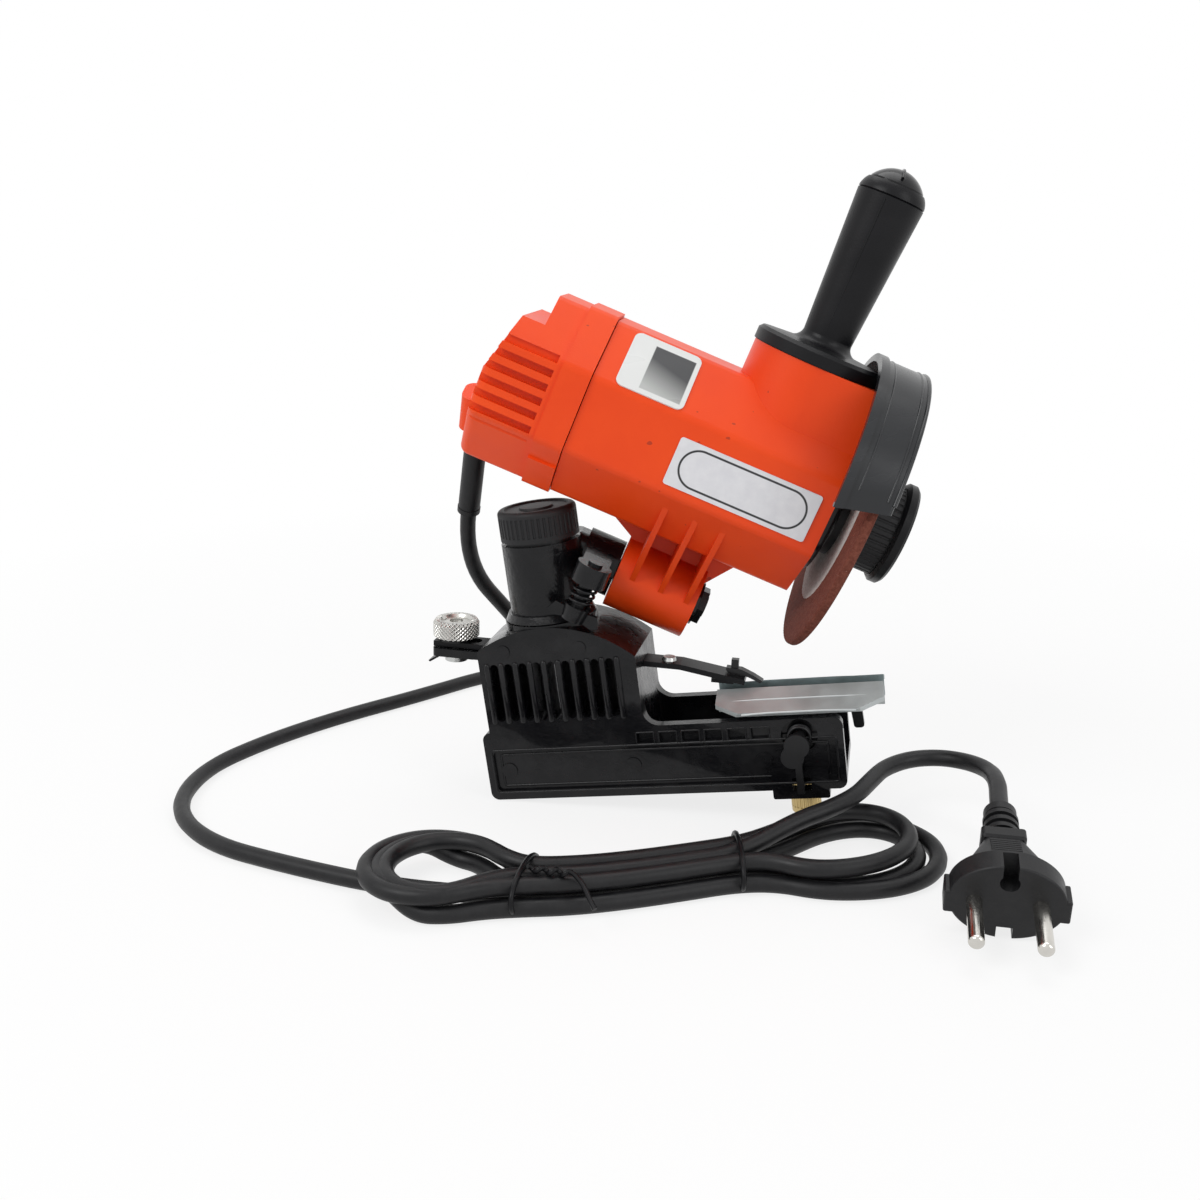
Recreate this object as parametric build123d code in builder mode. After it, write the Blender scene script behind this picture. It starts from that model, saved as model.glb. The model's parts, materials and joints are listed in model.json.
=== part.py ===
from build123d import *
from math import atan, atan2, cos, degrees, radians, sin, tan
import os

# Bench chain grinder: a cast base with a chain vice, a swivelling arm and a motor head that
# tips down on a hinge.  Three working frames are used, all in millimetres:
#   TOOL  origin where the swivel post's axis meets the base's underside, X along the bar, Z up
#   ARM   the same origin, turned with the arm about the post
#   HEAD  origin where the spindle axis meets the wheel's inner side, X out along the spindle
# On a table the tool stands on its heel and on the knob under the vice, so it leans a little.

# ---- base casting ----
BASE_W = 34.0            # width across the bar
BASE_HEEL = 28.0         # from the post axis back to the heel
BASE_TOE = 102.6         # from the post axis to the bar's free end
BAR_H = 26.4             # height of the bar's side walls
CORNER_R = 6.0           # round corner between the block and the bar's walls
BAR_WALL = 4.0           # thickness of the bar's side walls
FLOOR_T = 6.0            # thickness of the bar's floor
BLOCK_X0 = -25.0         # post block, left side
BLOCK_X1 = 33.0          # post block, right side
ARCH_LEFT = 57.5         # height of the block's arched face at its left side
ARCH_RIGHT = 52.5        # and at its right side, clear of the hinge tube
ARCH_TOP = 65.0          # height of the block's face in the middle
SEAT_Z = 65.6            # top of the round seat for the arm
SEAT_R = 17.0
FIN_SLOTS = 9            # blind slots in each face of the block
FIN_PITCH = 5.36
FIN_W = 3.0
FIN_Z0 = 30.5
FIN_Z1 = 52.5
FIN_DEPTH = 11.0
PANEL_Z = 18.8           # ledge over the lower panel
PANEL_SINK = 1.2
BEAD_Z = 3.4
POCKETS = 6              # square pockets in the bar's face
POCKET_X0 = 33.0
POCKET_PITCH = 8.2
POCKET_H = 4.4
POCKET_SINK = 1.6
MARK_R = 2.9             # round ejector marks
MARK_RISE = 0.4
LUG_X0 = 76.4            # lug below the bar's face
LUG_X1 = 96.3
LUG_DROP = 3.4
LUG_T = 5.0
BOLT_HOLE_R = 3.3        # bench bolts through the bar's floor
BOLT_X = (44.0, 66.0)

# ---- swivel post and arm ----
POST_R = 8.0
POST_TOP = 101.0
SLEEVE_R = 14.4
SLEEVE_Z0 = 66.0
SLEEVE_Z1 = 93.8
LIP_R = 16.6
RUN_GAP = 0.05           # radial clearance of a running fit
CAP_R = 14.3
CAP_Z0 = 95.0
CAP_Z1 = 106.2
CAP_RIBS = 44
ARM_YAW = 7.0            # the arm's turn at rest
SPINDLE_X = 107.1        # spindle origin in the arm's frame
SPINDLE_Z = 92.0
HEAD_TILT = 30.0         # the spindle points down by this much

# ---- hinge between arm and head, in the head's frame ----
HINGE_Y = 10.0
HINGE_Z = -53.8
TUBE_R = 13.8
TUBE_X0 = -63.8
TUBE_X1 = -33.0
EYE_X0 = -78.0
EYE_R = 10.8
NECK_X0 = -86.0          # the eye's neck starts inside the sleeve
NECK_SIZE = (18.0, 17.0)
EYE_GAP = 0.4
HINGE_R = 4.0
BUSH_R = 6.5
BUSH_LEN = 6.0
SPRING_WIRE = 1.1

# ---- motor housing, in the head's frame ----
BODY_R = 31.2            # across flats / 2 of the eight-sided housing
BAND_R = 32.3
SHELL_T = 3.0
REAR_X = -131.5
CAP_SEAM = -107.0
BAND_SEAM = -96.9
SEAM_GAP = 0.3
FRONT_X = -7.0
STEP_ONE_X = -118.0
STEP_TWO_X = -126.0
VENTS = 7
VENT_PITCH = 5.0
VENT_W = 2.6
BOSS_X = -29.5           # handle boss
BOSS_R = 22.4
BOSS_TOP = 43.4
BEARING_R = 11.0
SHAFT_R = 5.0
PLATE_T = 0.5

# ---- wheel, nut and guard ----
WHEEL_R = 50.0
WHEEL_X0 = 0.7
WHEEL_T = 3.2
FLANGE_R = 16.0
FLANGE_T = 2.6
NUT_R = 16.4
NUT_X1 = 17.4
NUT_RIBS = 40
DISC_R = 18.4
DISC_T = 4.6
GUARD_CLEAR = 3.8        # from the wheel's edge to the guard's outside
GUARD_R = WHEEL_R + GUARD_CLEAR
GUARD_T = 2.0
GUARD_X0 = -11.0
GUARD_X1 = 7.0

# ---- handle ----
HANDLE_DISC_R = 23.0
HANDLE_DISC_T = 5.0
HANDLE_GAP = 0.2
GRIP_R0 = 8.7
GRIP_R1 = 11.6
GRIP_TOP = 101.2
COLLAR_R = 9.9           # at the collar's top, which rounds over from the grip
COLLAR_TOP = 105.6
BUTTON_R = 9.2
BUTTON_TOP = 111.0
BUTTON_TRAVEL = 3.0
SWITCH_R = 7.9           # bore for the switch

# ---- chain vice ----
VICE_X = 86.0            # vertical swivel axis of the vice
JAW_X0 = 58.3
JAW_X1 = 117.0
JAW_T = 1.6
JAW_GAP = 5.0
JAW_TOP = 33.7
JAW_TRAVEL = 3.6
VICE_BLOCK_W = 22.0
KNOB_R = 5.4
CLAMP_Z = 20.0
CLAMP_R = 2.2
CLAMP_POCKET_R = 6.4
CLAMP_OFFSET = 1.5       # the clamp screw passes beside the vice bolt
LEVER_SWING = 90.0       # the clamp lever's throw closes the jaws

# ---- chain stop ----
STOP_TILT = 9.3          # the stop bar slopes down to the jaws
STOP_T = 2.0
STOP_W = 9.0
STOP_Z = 51.1            # height of the bar on the post axis
STOP_SLOT_GAP = 0.3
STOP_X0 = -46.5          # along the bar, from the post axis
STOP_BEND = 46.6
STOP_X1 = 70.0
STOP_END_DROP = 3.45     # the bar's end lies this far below its straight part
STOP_TRAVEL_OUT = 6.0
THUMB_X = -39.0
THUMB_R = 8.6
THUMB_SCREW_R = 2.5
EAR_T = 3.0

# ---- cord ----
CORD_D = 6.0
BOOT_R = 4.1
BOOT_LEN = 36.0
BOOT_LIP = 0.15          # bead round the boot's free end
BOOT_X = -129.5          # where the boot leaves the housing, in the head's frame
BOOT_Z = -23.5
BOOT_DIR = (0.17, 0.36, -0.88)
HANK_H = 12.4
PLUG_TILT = 12.0         # nose down
PLUG_FACE = (34.0, 27.0)
PLUG_LEN = 44.0
PIN_D = 4.8
PIN_PITCH = 19.0
PIN_LEN = 19.0
PIN_ROOT_R = 1.9         # thinner root that the plug holds
PIN_HOLD = 5.0           # length of that root
RELIEF_LEN = 14.6        # ribbed strain relief of the plug
NECK_LEN = 4.6           # square neck behind the grip
FACE_T = 8.0             # thickness of the plug's face
GRIP_RIBS = 9

# ---- how the tool stands ----
KNOB_DROP = 14.6         # the knob under the vice reaches this far below the base
ORIGIN_X = 32.5          # middle of the tool's outline, from the post axis
ORIGIN_Y = 12.5
LEAN = degrees(atan(KNOB_DROP / (VICE_X - KNOB_R + BASE_HEEL)))
TOOL = Location((-ORIGIN_X, -ORIGIN_Y, BASE_HEEL * sin(radians(LEAN))), (0, -LEAN, 0))
ARM = TOOL * Location((0, 0, 0), (0, 0, ARM_YAW))
HEAD = ARM * Location((SPINDLE_X, 0, SPINDLE_Z), (0, HEAD_TILT, 0))
ARM_TO_HEAD = Location((SPINDLE_X, 0, SPINDLE_Z), (0, HEAD_TILT, 0))
STOP = TOOL * Location((0, 0, STOP_Z), (0, STOP_TILT, 0))
TABLE = Location((0, 0, 0))

os.makedirs("parts", exist_ok=True)


def write(builder, label, stand):
    """Set a finished piece where it belongs in the standing tool, name it and write it."""
    builder.part = stand * builder.part
    builder.part.label = label
    export_step(builder.part, f"parts/{label}.step")


def across(x):
    """Section plane square to a long axis: local x is the width, local y is the height."""
    return Plane.YZ.offset(x)


def octagon(flats, round_by=4.0):
    """Eight-sided housing section with rounded corners, in the open sketch."""
    shape = RegularPolygon(flats, 8, major_radius=False, rotation=22.5)
    fillet(shape.vertices(), round_by)


def coil_spring(center, direction, radius, pitch, length, wire):
    """Round-wire helical spring, in the open part."""
    with BuildLine() as coil:
        Helix(pitch=pitch, height=length, radius=radius, center=center, direction=direction)
    with BuildSketch(Plane(origin=coil.line @ 0, z_dir=coil.line % 0)) as section:
        Circle(wire / 2)
    sweep(sections=section.sketch, path=coil.line, is_frenet=True)


# =====================================================================================
# Base casting and what is fixed in it
# =====================================================================================
BLOCK_MID = (BLOCK_X0 + BLOCK_X1) / 2
HALF_W = BASE_W / 2
stop_plane = Plane(Location((0, 0, STOP_Z), (0, STOP_TILT, 0)))
stop_section = Plane(origin=stop_plane.origin, x_dir=(0, 1, 0), z_dir=stop_plane.x_dir)

with BuildPart() as base_casting:
    # long bar, rounded at its ends
    with BuildSketch(Plane.XZ.offset(-HALF_W)):
        with BuildLine():
            Polyline((-BASE_HEEL, 0), (BASE_TOE, 0), (BASE_TOE, BAR_H), (-BASE_HEEL, BAR_H), close=True)
        make_face()
        fillet(vertices(), 3.0)
    extrude(amount=BASE_W)
    # post block with an arched face
    with BuildSketch(Plane.XZ.offset(-HALF_W)):
        with BuildLine():
            Polyline((BLOCK_X0, ARCH_LEFT), (BLOCK_X0, 0), (BLOCK_X1, 0), (BLOCK_X1, ARCH_RIGHT))
            ThreePointArc((BLOCK_X1, ARCH_RIGHT), (1.0, ARCH_TOP), (BLOCK_X0, ARCH_LEFT))
        make_face()
    extrude(amount=BASE_W)
    # round corner where the block meets the bar's walls
    with BuildSketch(Plane.XZ.offset(-HALF_W)):
        with BuildLine():
            Polyline((BLOCK_X1 + CORNER_R, BAR_H), (BLOCK_X1 - 1, BAR_H), (BLOCK_X1 - 1, BAR_H + CORNER_R),
                     (BLOCK_X1, BAR_H + CORNER_R))
            RadiusArc((BLOCK_X1, BAR_H + CORNER_R), (BLOCK_X1 + CORNER_R, BAR_H), -CORNER_R)
        make_face()
    extrude(amount=BASE_W)
    # round seat for the arm
    with BuildSketch(Plane.XY):
        Circle(SEAT_R)
    extrude(amount=SEAT_Z)
    # channel between the bar's walls, open at the top and at the toe
    with BuildSketch(Plane.XY.offset(FLOOR_T)):
        with Locations(((BLOCK_X1 + BASE_TOE + 10) / 2, 0)):
            RectangleRounded(BASE_TOE + 10 - BLOCK_X1, BASE_W - 2 * BAR_WALL, 3.0)
    extrude(amount=BAR_H + CORNER_R, mode=Mode.SUBTRACT)
    # blind slots in both faces of the block
    for side in (-1, 1):
        with BuildSketch(Plane.XZ.offset(-side * HALF_W)):
            with Locations((BLOCK_MID - 2.0, (FIN_Z0 + FIN_Z1) / 2)):
                with GridLocations(FIN_PITCH, 1, FIN_SLOTS, 1):
                    SlotOverall(FIN_Z1 - FIN_Z0, FIN_W, rotation=90)
        extrude(amount=side * FIN_DEPTH, mode=Mode.SUBTRACT)
        # sunk lower panel with a bead along its foot
        with BuildSketch(Plane.XZ.offset(-side * HALF_W)):
            with Locations(((BASE_TOE - BASE_HEEL) / 2, (PANEL_Z + BEAD_Z) / 2)):
                RectangleRounded(BASE_TOE + BASE_HEEL - 6, PANEL_Z - BEAD_Z, 1.5)
        extrude(amount=side * PANEL_SINK, mode=Mode.SUBTRACT)
        # square pockets over the ledge
        with BuildSketch(Plane.XZ.offset(-side * HALF_W)):
            for n in range(POCKETS):
                with Locations((POCKET_X0 + n * POCKET_PITCH, PANEL_Z + 0.8 + POCKET_H / 2)):
                    RectangleRounded(POCKET_PITCH - 1.8, POCKET_H, 0.6)
        extrude(amount=side * POCKET_SINK, mode=Mode.SUBTRACT)
        # raised round marks
        with BuildSketch(Plane.XZ.offset(-side * (HALF_W - PANEL_SINK))):
            with Locations((-19.8, 11.0), (27.2, 11.3), (74.4, 11.1)):
                Circle(MARK_R)
        extrude(amount=-side * MARK_RISE)
        with BuildSketch(Plane.XZ.offset(-side * HALF_W)):
            with Locations((-15.0, 57.1), (13.3, 57.0)):
                Circle(MARK_R - 0.5)
        extrude(amount=-side * MARK_RISE)
    # lug below the near wall, with a square window for the lever's hook
    with BuildSketch(Plane.XZ.offset(HALF_W)):
        with Locations(((LUG_X0 + LUG_X1) / 2, (7.5 - LUG_DROP) / 2)):
            RectangleRounded(LUG_X1 - LUG_X0, 7.5 + LUG_DROP, 0.8)
    extrude(amount=-LUG_T)
    with BuildSketch(Plane.XZ.offset(HALF_W)):
        with Locations((86.8, 2.0)):
            RectangleRounded(6.6, 4.8, 0.5)
    extrude(amount=-LUG_T, mode=Mode.SUBTRACT)
    # pocket and bore for the clamp screw through both walls
    with BuildSketch(Plane.XZ.offset(HALF_W)):
        with Locations((VICE_X + CLAMP_OFFSET, CLAMP_Z)):
            Circle(CLAMP_POCKET_R)
    extrude(amount=-(BAR_WALL - 1.4), mode=Mode.SUBTRACT)
    with BuildSketch(Plane.XZ.offset(-HALF_W)):
        with Locations((VICE_X + CLAMP_OFFSET, CLAMP_Z)):
            Circle(CLAMP_R + RUN_GAP)
    extrude(amount=BASE_W, mode=Mode.SUBTRACT)
    # swivel hole of the vice, bench bolt holes, post socket
    with Locations((VICE_X, 0, FLOOR_T)):
        Hole(3.0 + RUN_GAP, depth=FLOOR_T)
    for x in BOLT_X:
        with Locations((x, 0, FLOOR_T)):
            Hole(BOLT_HOLE_R, depth=FLOOR_T)
    with BuildSketch(Plane.XY.offset(SEAT_Z)):
        Circle(POST_R)
    extrude(amount=-40, mode=Mode.SUBTRACT)
    # sloping slot for the chain stop's bar
    with BuildSketch(stop_section):
        Rectangle(STOP_W + 2 * STOP_SLOT_GAP, STOP_T + 2 * STOP_SLOT_GAP)
    extrude(amount=60, both=True, mode=Mode.SUBTRACT)
    # ear at the heel side, below the stop bar, for the thumb screw
    with BuildSketch(stop_plane.offset(-STOP_T / 2 - STOP_SLOT_GAP)):
        with Locations(((STOP_X0 + BLOCK_X0 + 2) / 2, 0)):
            RectangleRounded(BLOCK_X0 + 2 - STOP_X0, 13.0, 2.0)
        with Locations((THUMB_X, 0)):
            Circle(THUMB_SCREW_R, mode=Mode.SUBTRACT)
    extrude(amount=-EAR_T)
write(base_casting, "base_casting", TOOL)

with BuildPart() as post_spindle:
    with BuildSketch(Plane.XY.offset(SEAT_Z - 40)):
        Circle(POST_R)
    extrude(amount=POST_TOP - SEAT_Z + 40)
    chamfer(edges().group_by(Axis.Z)[-1], 1.0)
    # the stop bar passes through the post
    with BuildSketch(stop_section):
        Rectangle(STOP_W + 2 * STOP_SLOT_GAP, STOP_T + 2 * STOP_SLOT_GAP)
    extrude(amount=POST_R + 4, both=True, mode=Mode.SUBTRACT)
write(post_spindle, "post_spindle", TOOL)

# =====================================================================================
# Swivel arm, its cap and the depth stop
# =====================================================================================
SCREW_X = -71.8          # depth stop screw along the head's Z, in the head's frame
SCREW_Y = -21.5
SCREW_R = 2.6
SCREW_BOSS_Z = -47.4
SCREW_BOSS_LEN = 7.0

with BuildPart() as arm_casting:
    with BuildSketch(Plane.XY.offset(SLEEVE_Z0)):
        Circle(LIP_R)
    extrude(amount=2.6, taper=25)
    with BuildSketch(Plane.XY.offset(SLEEVE_Z0)):
        Circle(SLEEVE_R)
    extrude(amount=SLEEVE_Z1 - SLEEVE_Z0)
    # eye that carries the hinge bolt, lying along the spindle's slope
    eye = Plane(ARM_TO_HEAD * Location((EYE_X0, HINGE_Y, HINGE_Z), (0, 90, 0)))
    with BuildSketch(eye):
        Circle(EYE_R)
    extrude(amount=TUBE_X0 - EYE_GAP - EYE_X0)
    # neck that joins the eye to the sleeve, flush with the sleeve's top
    with BuildSketch(Plane(ARM_TO_HEAD * Location((NECK_X0, HINGE_Y, HINGE_Z), (0, 90, 0)))):
        RectangleRounded(*NECK_SIZE, 5.0)
    extrude(amount=EYE_X0 + 4.0 - NECK_X0)
    with BuildSketch(Plane.XY.offset(SLEEVE_Z1)):
        Circle(3 * SLEEVE_R)
    extrude(amount=SLEEVE_R, mode=Mode.SUBTRACT)
    # boss of the depth stop screw on the near side, on a short neck from the eye
    boss = Plane(ARM_TO_HEAD * Location((SCREW_X, SCREW_Y, SCREW_BOSS_Z), (180, 0, 0)))
    with BuildSketch(boss):
        Circle(6.2)
        with Locations((0, -(HINGE_Y - SCREW_Y) / 2)):
            Rectangle(10.0, HINGE_Y - SCREW_Y)
    extrude(amount=SCREW_BOSS_LEN)
    # bores for the post, the hinge bolt and the screw
    with BuildSketch(Plane.XY.offset(SLEEVE_Z0 - 1)):
        Circle(POST_R + RUN_GAP)
    extrude(amount=SLEEVE_Z1 - SLEEVE_Z0 + 10, mode=Mode.SUBTRACT)
    with BuildSketch(Plane(ARM_TO_HEAD * Location((-76.0, HINGE_Y, HINGE_Z), (0, 90, 0)))):
        Circle(HINGE_R)
    extrude(amount=14, mode=Mode.SUBTRACT)
    with BuildSketch(boss):
        Circle(SCREW_R + RUN_GAP)
    extrude(amount=SCREW_BOSS_LEN, mode=Mode.SUBTRACT)
write(arm_casting, "arm_casting", ARM)

with BuildPart() as post_washer:
    with BuildSketch(Plane.XY.offset(SLEEVE_Z1)):
        Circle(12.6)
        Circle(POST_R + 0.2, mode=Mode.SUBTRACT)
    extrude(amount=1.0)
write(post_washer, "post_washer", ARM)

with BuildPart() as post_cap:
    with BuildSketch(Plane.XZ):
        with BuildLine():
            Polyline((POST_R + RUN_GAP, CAP_Z0), (CAP_R, CAP_Z0), (CAP_R, CAP_Z1 - 1.6))
            ThreePointArc((CAP_R, CAP_Z1 - 1.6), (CAP_R - 0.5, CAP_Z1 - 0.5), (CAP_R - 1.6, CAP_Z1))
            Polyline((CAP_R - 1.6, CAP_Z1), (CAP_R - 2.6, CAP_Z1), (CAP_R - 3.0, CAP_Z1 - 0.7),
                     (6.4, CAP_Z1 - 0.7), (6.0, CAP_Z1), (0, CAP_Z1), (0, POST_TOP + 0.4),
                     (POST_R + RUN_GAP, POST_TOP + 0.4), (POST_R + RUN_GAP, CAP_Z0))
        make_face()
    revolve(axis=Axis.Z)
    with BuildSketch(Plane.XY.offset(CAP_Z0 + 1.8)):
        with PolarLocations(CAP_R + 0.15, CAP_RIBS):
            Circle(0.55)
    extrude(amount=CAP_Z1 - CAP_Z0 - 4.2, mode=Mode.SUBTRACT)
write(post_cap, "post_cap", TOOL)

SPRING_Z1 = SCREW_BOSS_Z - SCREW_BOSS_LEN - SPRING_WIRE / 2 - 0.1
SPRING_LEN = 7.5
with BuildPart() as depth_spring:
    coil_spring((SCREW_X, SCREW_Y, SPRING_Z1 - SPRING_LEN), (0, 0, 1), 3.9, 2.1, SPRING_LEN, SPRING_WIRE)
write(depth_spring, "depth_spring", HEAD)

WING_Z = SPRING_Z1 - SPRING_LEN - SPRING_WIRE / 2 - 0.1
with BuildPart() as depth_screw:
    with BuildSketch(Plane.XY.offset(WING_Z - 5)):
        with Locations((SCREW_X, SCREW_Y)):
            Circle(SCREW_R)
    extrude(amount=SCREW_BOSS_Z - WING_Z + 6.0)
    with BuildSketch(Plane.XY.offset(WING_Z)):
        with Locations((SCREW_X, SCREW_Y)):
            Circle(4.9)
    extrude(amount=-5.5, taper=8)
    with BuildSketch(Plane.XZ.offset(-SCREW_Y - 1.1)):
        for side in (-1, 1):
            with BuildLine():
                Polyline((SCREW_X + side * 3.2, WING_Z - 1.6), (SCREW_X + side * 7.8, WING_Z - 1.2),
                         (SCREW_X + side * 9.6, WING_Z - 5.0), (SCREW_X + side * 7.0, WING_Z - 6.2),
                         (SCREW_X + side * 3.2, WING_Z - 5.2), close=True)
            make_face()
    extrude(amount=2.2)
write(depth_screw, "depth_screw", HEAD)

# =====================================================================================
# Hinge
# =====================================================================================
with BuildPart() as hinge_bolt:
    with BuildSketch(across(-76.0)):
        with Locations((HINGE_Y, HINGE_Z)):
            Circle(HINGE_R)
    extrude(amount=TUBE_X1 + 4.6 + 76.0)
write(hinge_bolt, "hinge_bolt", HEAD)

with BuildPart() as hinge_washer:
    with BuildSketch(across(TUBE_X1 + 0.1)):
        with Locations((HINGE_Y, HINGE_Z)):
            Circle(8.2)
            Circle(HINGE_R + RUN_GAP, mode=Mode.SUBTRACT)
    extrude(amount=1.4)
write(hinge_washer, "hinge_washer", HEAD)

with BuildPart() as hinge_nut:
    with BuildSketch(across(TUBE_X1 + 1.5)):
        with Locations((HINGE_Y, HINGE_Z)):
            RegularPolygon(6.2, 6, major_radius=False)
            Circle(HINGE_R, mode=Mode.SUBTRACT)
    extrude(amount=2.6)
write(hinge_nut, "hinge_nut", HEAD)

with BuildPart() as hinge_bushes:
    for x in (TUBE_X0, TUBE_X1 - BUSH_LEN):
        with BuildSketch(across(x)):
            with Locations((HINGE_Y, HINGE_Z)):
                Circle(BUSH_R)
                Circle(HINGE_R + RUN_GAP, mode=Mode.SUBTRACT)
        extrude(amount=BUSH_LEN)
write(hinge_bushes, "hinge_bushes", HEAD)

with BuildPart() as return_spring:
    spring_len = TUBE_X1 - TUBE_X0 - 2 * BUSH_LEN - 2.0
    coil_spring((TUBE_X0 + BUSH_LEN + 1.0, HINGE_Y, HINGE_Z), (1, 0, 0), 6.6, 2.4, spring_len, SPRING_WIRE)
write(return_spring, "return_spring", HEAD)

# =====================================================================================
# Motor housing shells
# =====================================================================================
SEAT_X = -115.8          # inner end of the rear bearing
BEARING_T = 7.0
CAP_HOLLOW_R = BODY_R - SHELL_T - 8
CAP_SCREWS = ((17.5, -17.5), (-17.5, -17.5), (17.5, 15.0), (-17.5, 15.0))
SCREW_HOLE_R = 1.65
SCREW_BITE = 6.0
VENT_TOP = 13.6
VENT_DEPTH = 4.2
BOOT_SEAT = 6.0
outlet = Plane(origin=(BOOT_X, 0, BOOT_Z), x_dir=(0, 1, 0), z_dir=BOOT_DIR)

with BuildPart() as front_housing:
    with BuildSketch(across(BAND_SEAM + SEAM_GAP)):
        octagon(BODY_R)
    extrude(amount=FRONT_X - BAND_SEAM - SEAM_GAP)
    # upright boss under the handle, running out to the front wall
    with BuildSketch(Plane.XY):
        with Locations((BOSS_X, 0)):
            Circle(BOSS_R)
        with Locations(((BOSS_X + FRONT_X) / 2, 0)):
            Rectangle(FRONT_X - BOSS_X, 2 * BOSS_R)
    extrude(amount=BOSS_TOP)
    # hinge tube
    with BuildSketch(across(TUBE_X0)):
        with Locations((HINGE_Y, HINGE_Z)):
            Circle(TUBE_R)
    extrude(amount=TUBE_X1 - TUBE_X0)
    # web between body and tube, then the gussets on its near side
    with BuildSketch(Plane.XZ.offset(-HINGE_Y - 3)):
        with BuildLine():
            Polyline((-80.0, -20), (-80.0, -31), (TUBE_X0, HINGE_Z + TUBE_R + 0.4), (TUBE_X0, HINGE_Z + 8),
                     (TUBE_X1, HINGE_Z + 8), (-22.0, -31), (-22.0, -20), close=True)
        make_face()
    extrude(amount=6.0)
    for x in (-57.5, -46.5, -36.5):
        with BuildSketch(across(x - 1.0)):
            with BuildLine():
                Polyline((HINGE_Y, -18.5), (HINGE_Y - 35.6, -18.5), (HINGE_Y - 13.2, HINGE_Z + 1),
                         (HINGE_Y, HINGE_Z), close=True)
            make_face()
        extrude(amount=2.0)
    # hollow for the motor, bearing seat in the front wall
    with BuildSketch(across(BAND_SEAM + SEAM_GAP)):
        Circle(BODY_R - SHELL_T)
    extrude(amount=FRONT_X - BAND_SEAM - SEAM_GAP - 9, mode=Mode.SUBTRACT)
    with BuildSketch(across(FRONT_X - 9)):
        Circle(BEARING_R)
    extrude(amount=9, mode=Mode.SUBTRACT)
    # hollow of the boss for the switch and its leads
    with BuildSketch(Plane.XY.offset(20)):
        with Locations((BOSS_X, 0)):
            Circle(BOSS_R - SHELL_T - 3)
    extrude(amount=BOSS_TOP - 20, mode=Mode.SUBTRACT)
    # bore of the hinge tube with its bush seats
    with BuildSketch(across(TUBE_X0)):
        with Locations((HINGE_Y, HINGE_Z)):
            Circle(BUSH_R)
    extrude(amount=TUBE_X1 - TUBE_X0, mode=Mode.SUBTRACT)
    with BuildSketch(across(TUBE_X0 + BUSH_LEN)):
        with Locations((HINGE_Y, HINGE_Z)):
            Circle(BUSH_R + 1.4)
    extrude(amount=TUBE_X1 - TUBE_X0 - 2 * BUSH_LEN, mode=Mode.SUBTRACT)
write(front_housing, "front_housing", HEAD)

with BuildPart() as motor_band:
    with BuildSketch(across(CAP_SEAM)):
        octagon(BAND_R)
        Circle(BODY_R - SHELL_T, mode=Mode.SUBTRACT)
        # screw bosses that stand in from the wall
        for y, z in CAP_SCREWS:
            outward = degrees(atan2(z, y))
            with Locations(Location((y * 1.12, z * 1.12, 0), (0, 0, outward))):
                Rectangle(11.0, 7.0)
        with Locations(*CAP_SCREWS):
            Circle(SCREW_HOLE_R, mode=Mode.SUBTRACT)
    extrude(amount=BAND_SEAM - CAP_SEAM)
write(motor_band, "motor_band", HEAD)

with BuildPart() as rear_cap:
    with BuildSketch(across(CAP_SEAM)):
        octagon(BODY_R)
    extrude(amount=REAR_X - CAP_SEAM)
    fillet(faces().sort_by(Axis.X)[0].edges(), 3.5)
    # the top steps down towards the rear
    with BuildSketch(Plane.XZ.offset(-BODY_R - 1)):
        with BuildLine():
            Polyline((STEP_ONE_X, BODY_R + 1), (STEP_ONE_X, 21.4), (STEP_TWO_X, 21.4), (STEP_TWO_X - 1.5, 14.6),
                     (REAR_X + 1.5, 6.0), (REAR_X - 0.5, 0.0), (REAR_X - 1, BODY_R + 1), close=True)
        make_face()
    extrude(amount=2 * BODY_R + 2, mode=Mode.SUBTRACT)
    # hollow, with the rear bearing's seat and a way out for the shaft's end
    for x0, x1, radius in ((CAP_SEAM, SEAT_X, CAP_HOLLOW_R), (SEAT_X, SEAT_X - BEARING_T, BEARING_R),
                           (SEAT_X - BEARING_T, SEAT_X - BEARING_T - 3, SHAFT_R + 1)):
        with BuildSketch(across(x0)):
            Circle(radius)
        extrude(amount=x1 - x0, mode=Mode.SUBTRACT)
    # air slots along both flanks
    for side in (-1, 1):
        for n in range(VENTS):
            with BuildSketch(Plane.XZ.offset(side * (BODY_R + 1))):
                with Locations(((REAR_X + CAP_SEAM) / 2 - 2, VENT_TOP - n * VENT_PITCH)):
                    Rectangle(CAP_SEAM - REAR_X, VENT_W)
            extrude(amount=-side * VENT_DEPTH, mode=Mode.SUBTRACT)
    # housing of the cord's outlet, along the way the cord leaves
    with BuildSketch(outlet.offset(-1.0)):
        RectangleRounded(12.4, 12.4, 4.0)
    extrude(amount=-13.0)
    with BuildSketch(outlet):
        Circle(BOOT_R)
    extrude(amount=-BOOT_SEAT, mode=Mode.SUBTRACT)
    # groove in the cap's lower rear edge that the boot lies in
    with BuildSketch(outlet):
        Circle(BOOT_R + BOOT_LIP + SEAM_GAP)
    extrude(amount=BOOT_LEN, mode=Mode.SUBTRACT)
    # screw holes
    with BuildSketch(across(CAP_SEAM)):
        with Locations(*CAP_SCREWS):
            Circle(SCREW_HOLE_R)
    extrude(amount=-14.0, mode=Mode.SUBTRACT)
write(rear_cap, "rear_cap", HEAD)

with BuildPart() as housing_screws:
    with BuildSketch(across(CAP_SEAM - 14.0)):
        with Locations(*CAP_SCREWS):
            Circle(SCREW_HOLE_R - RUN_GAP)
    extrude(amount=14.0 + SCREW_BITE)
write(housing_screws, "housing_screws", HEAD)

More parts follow.
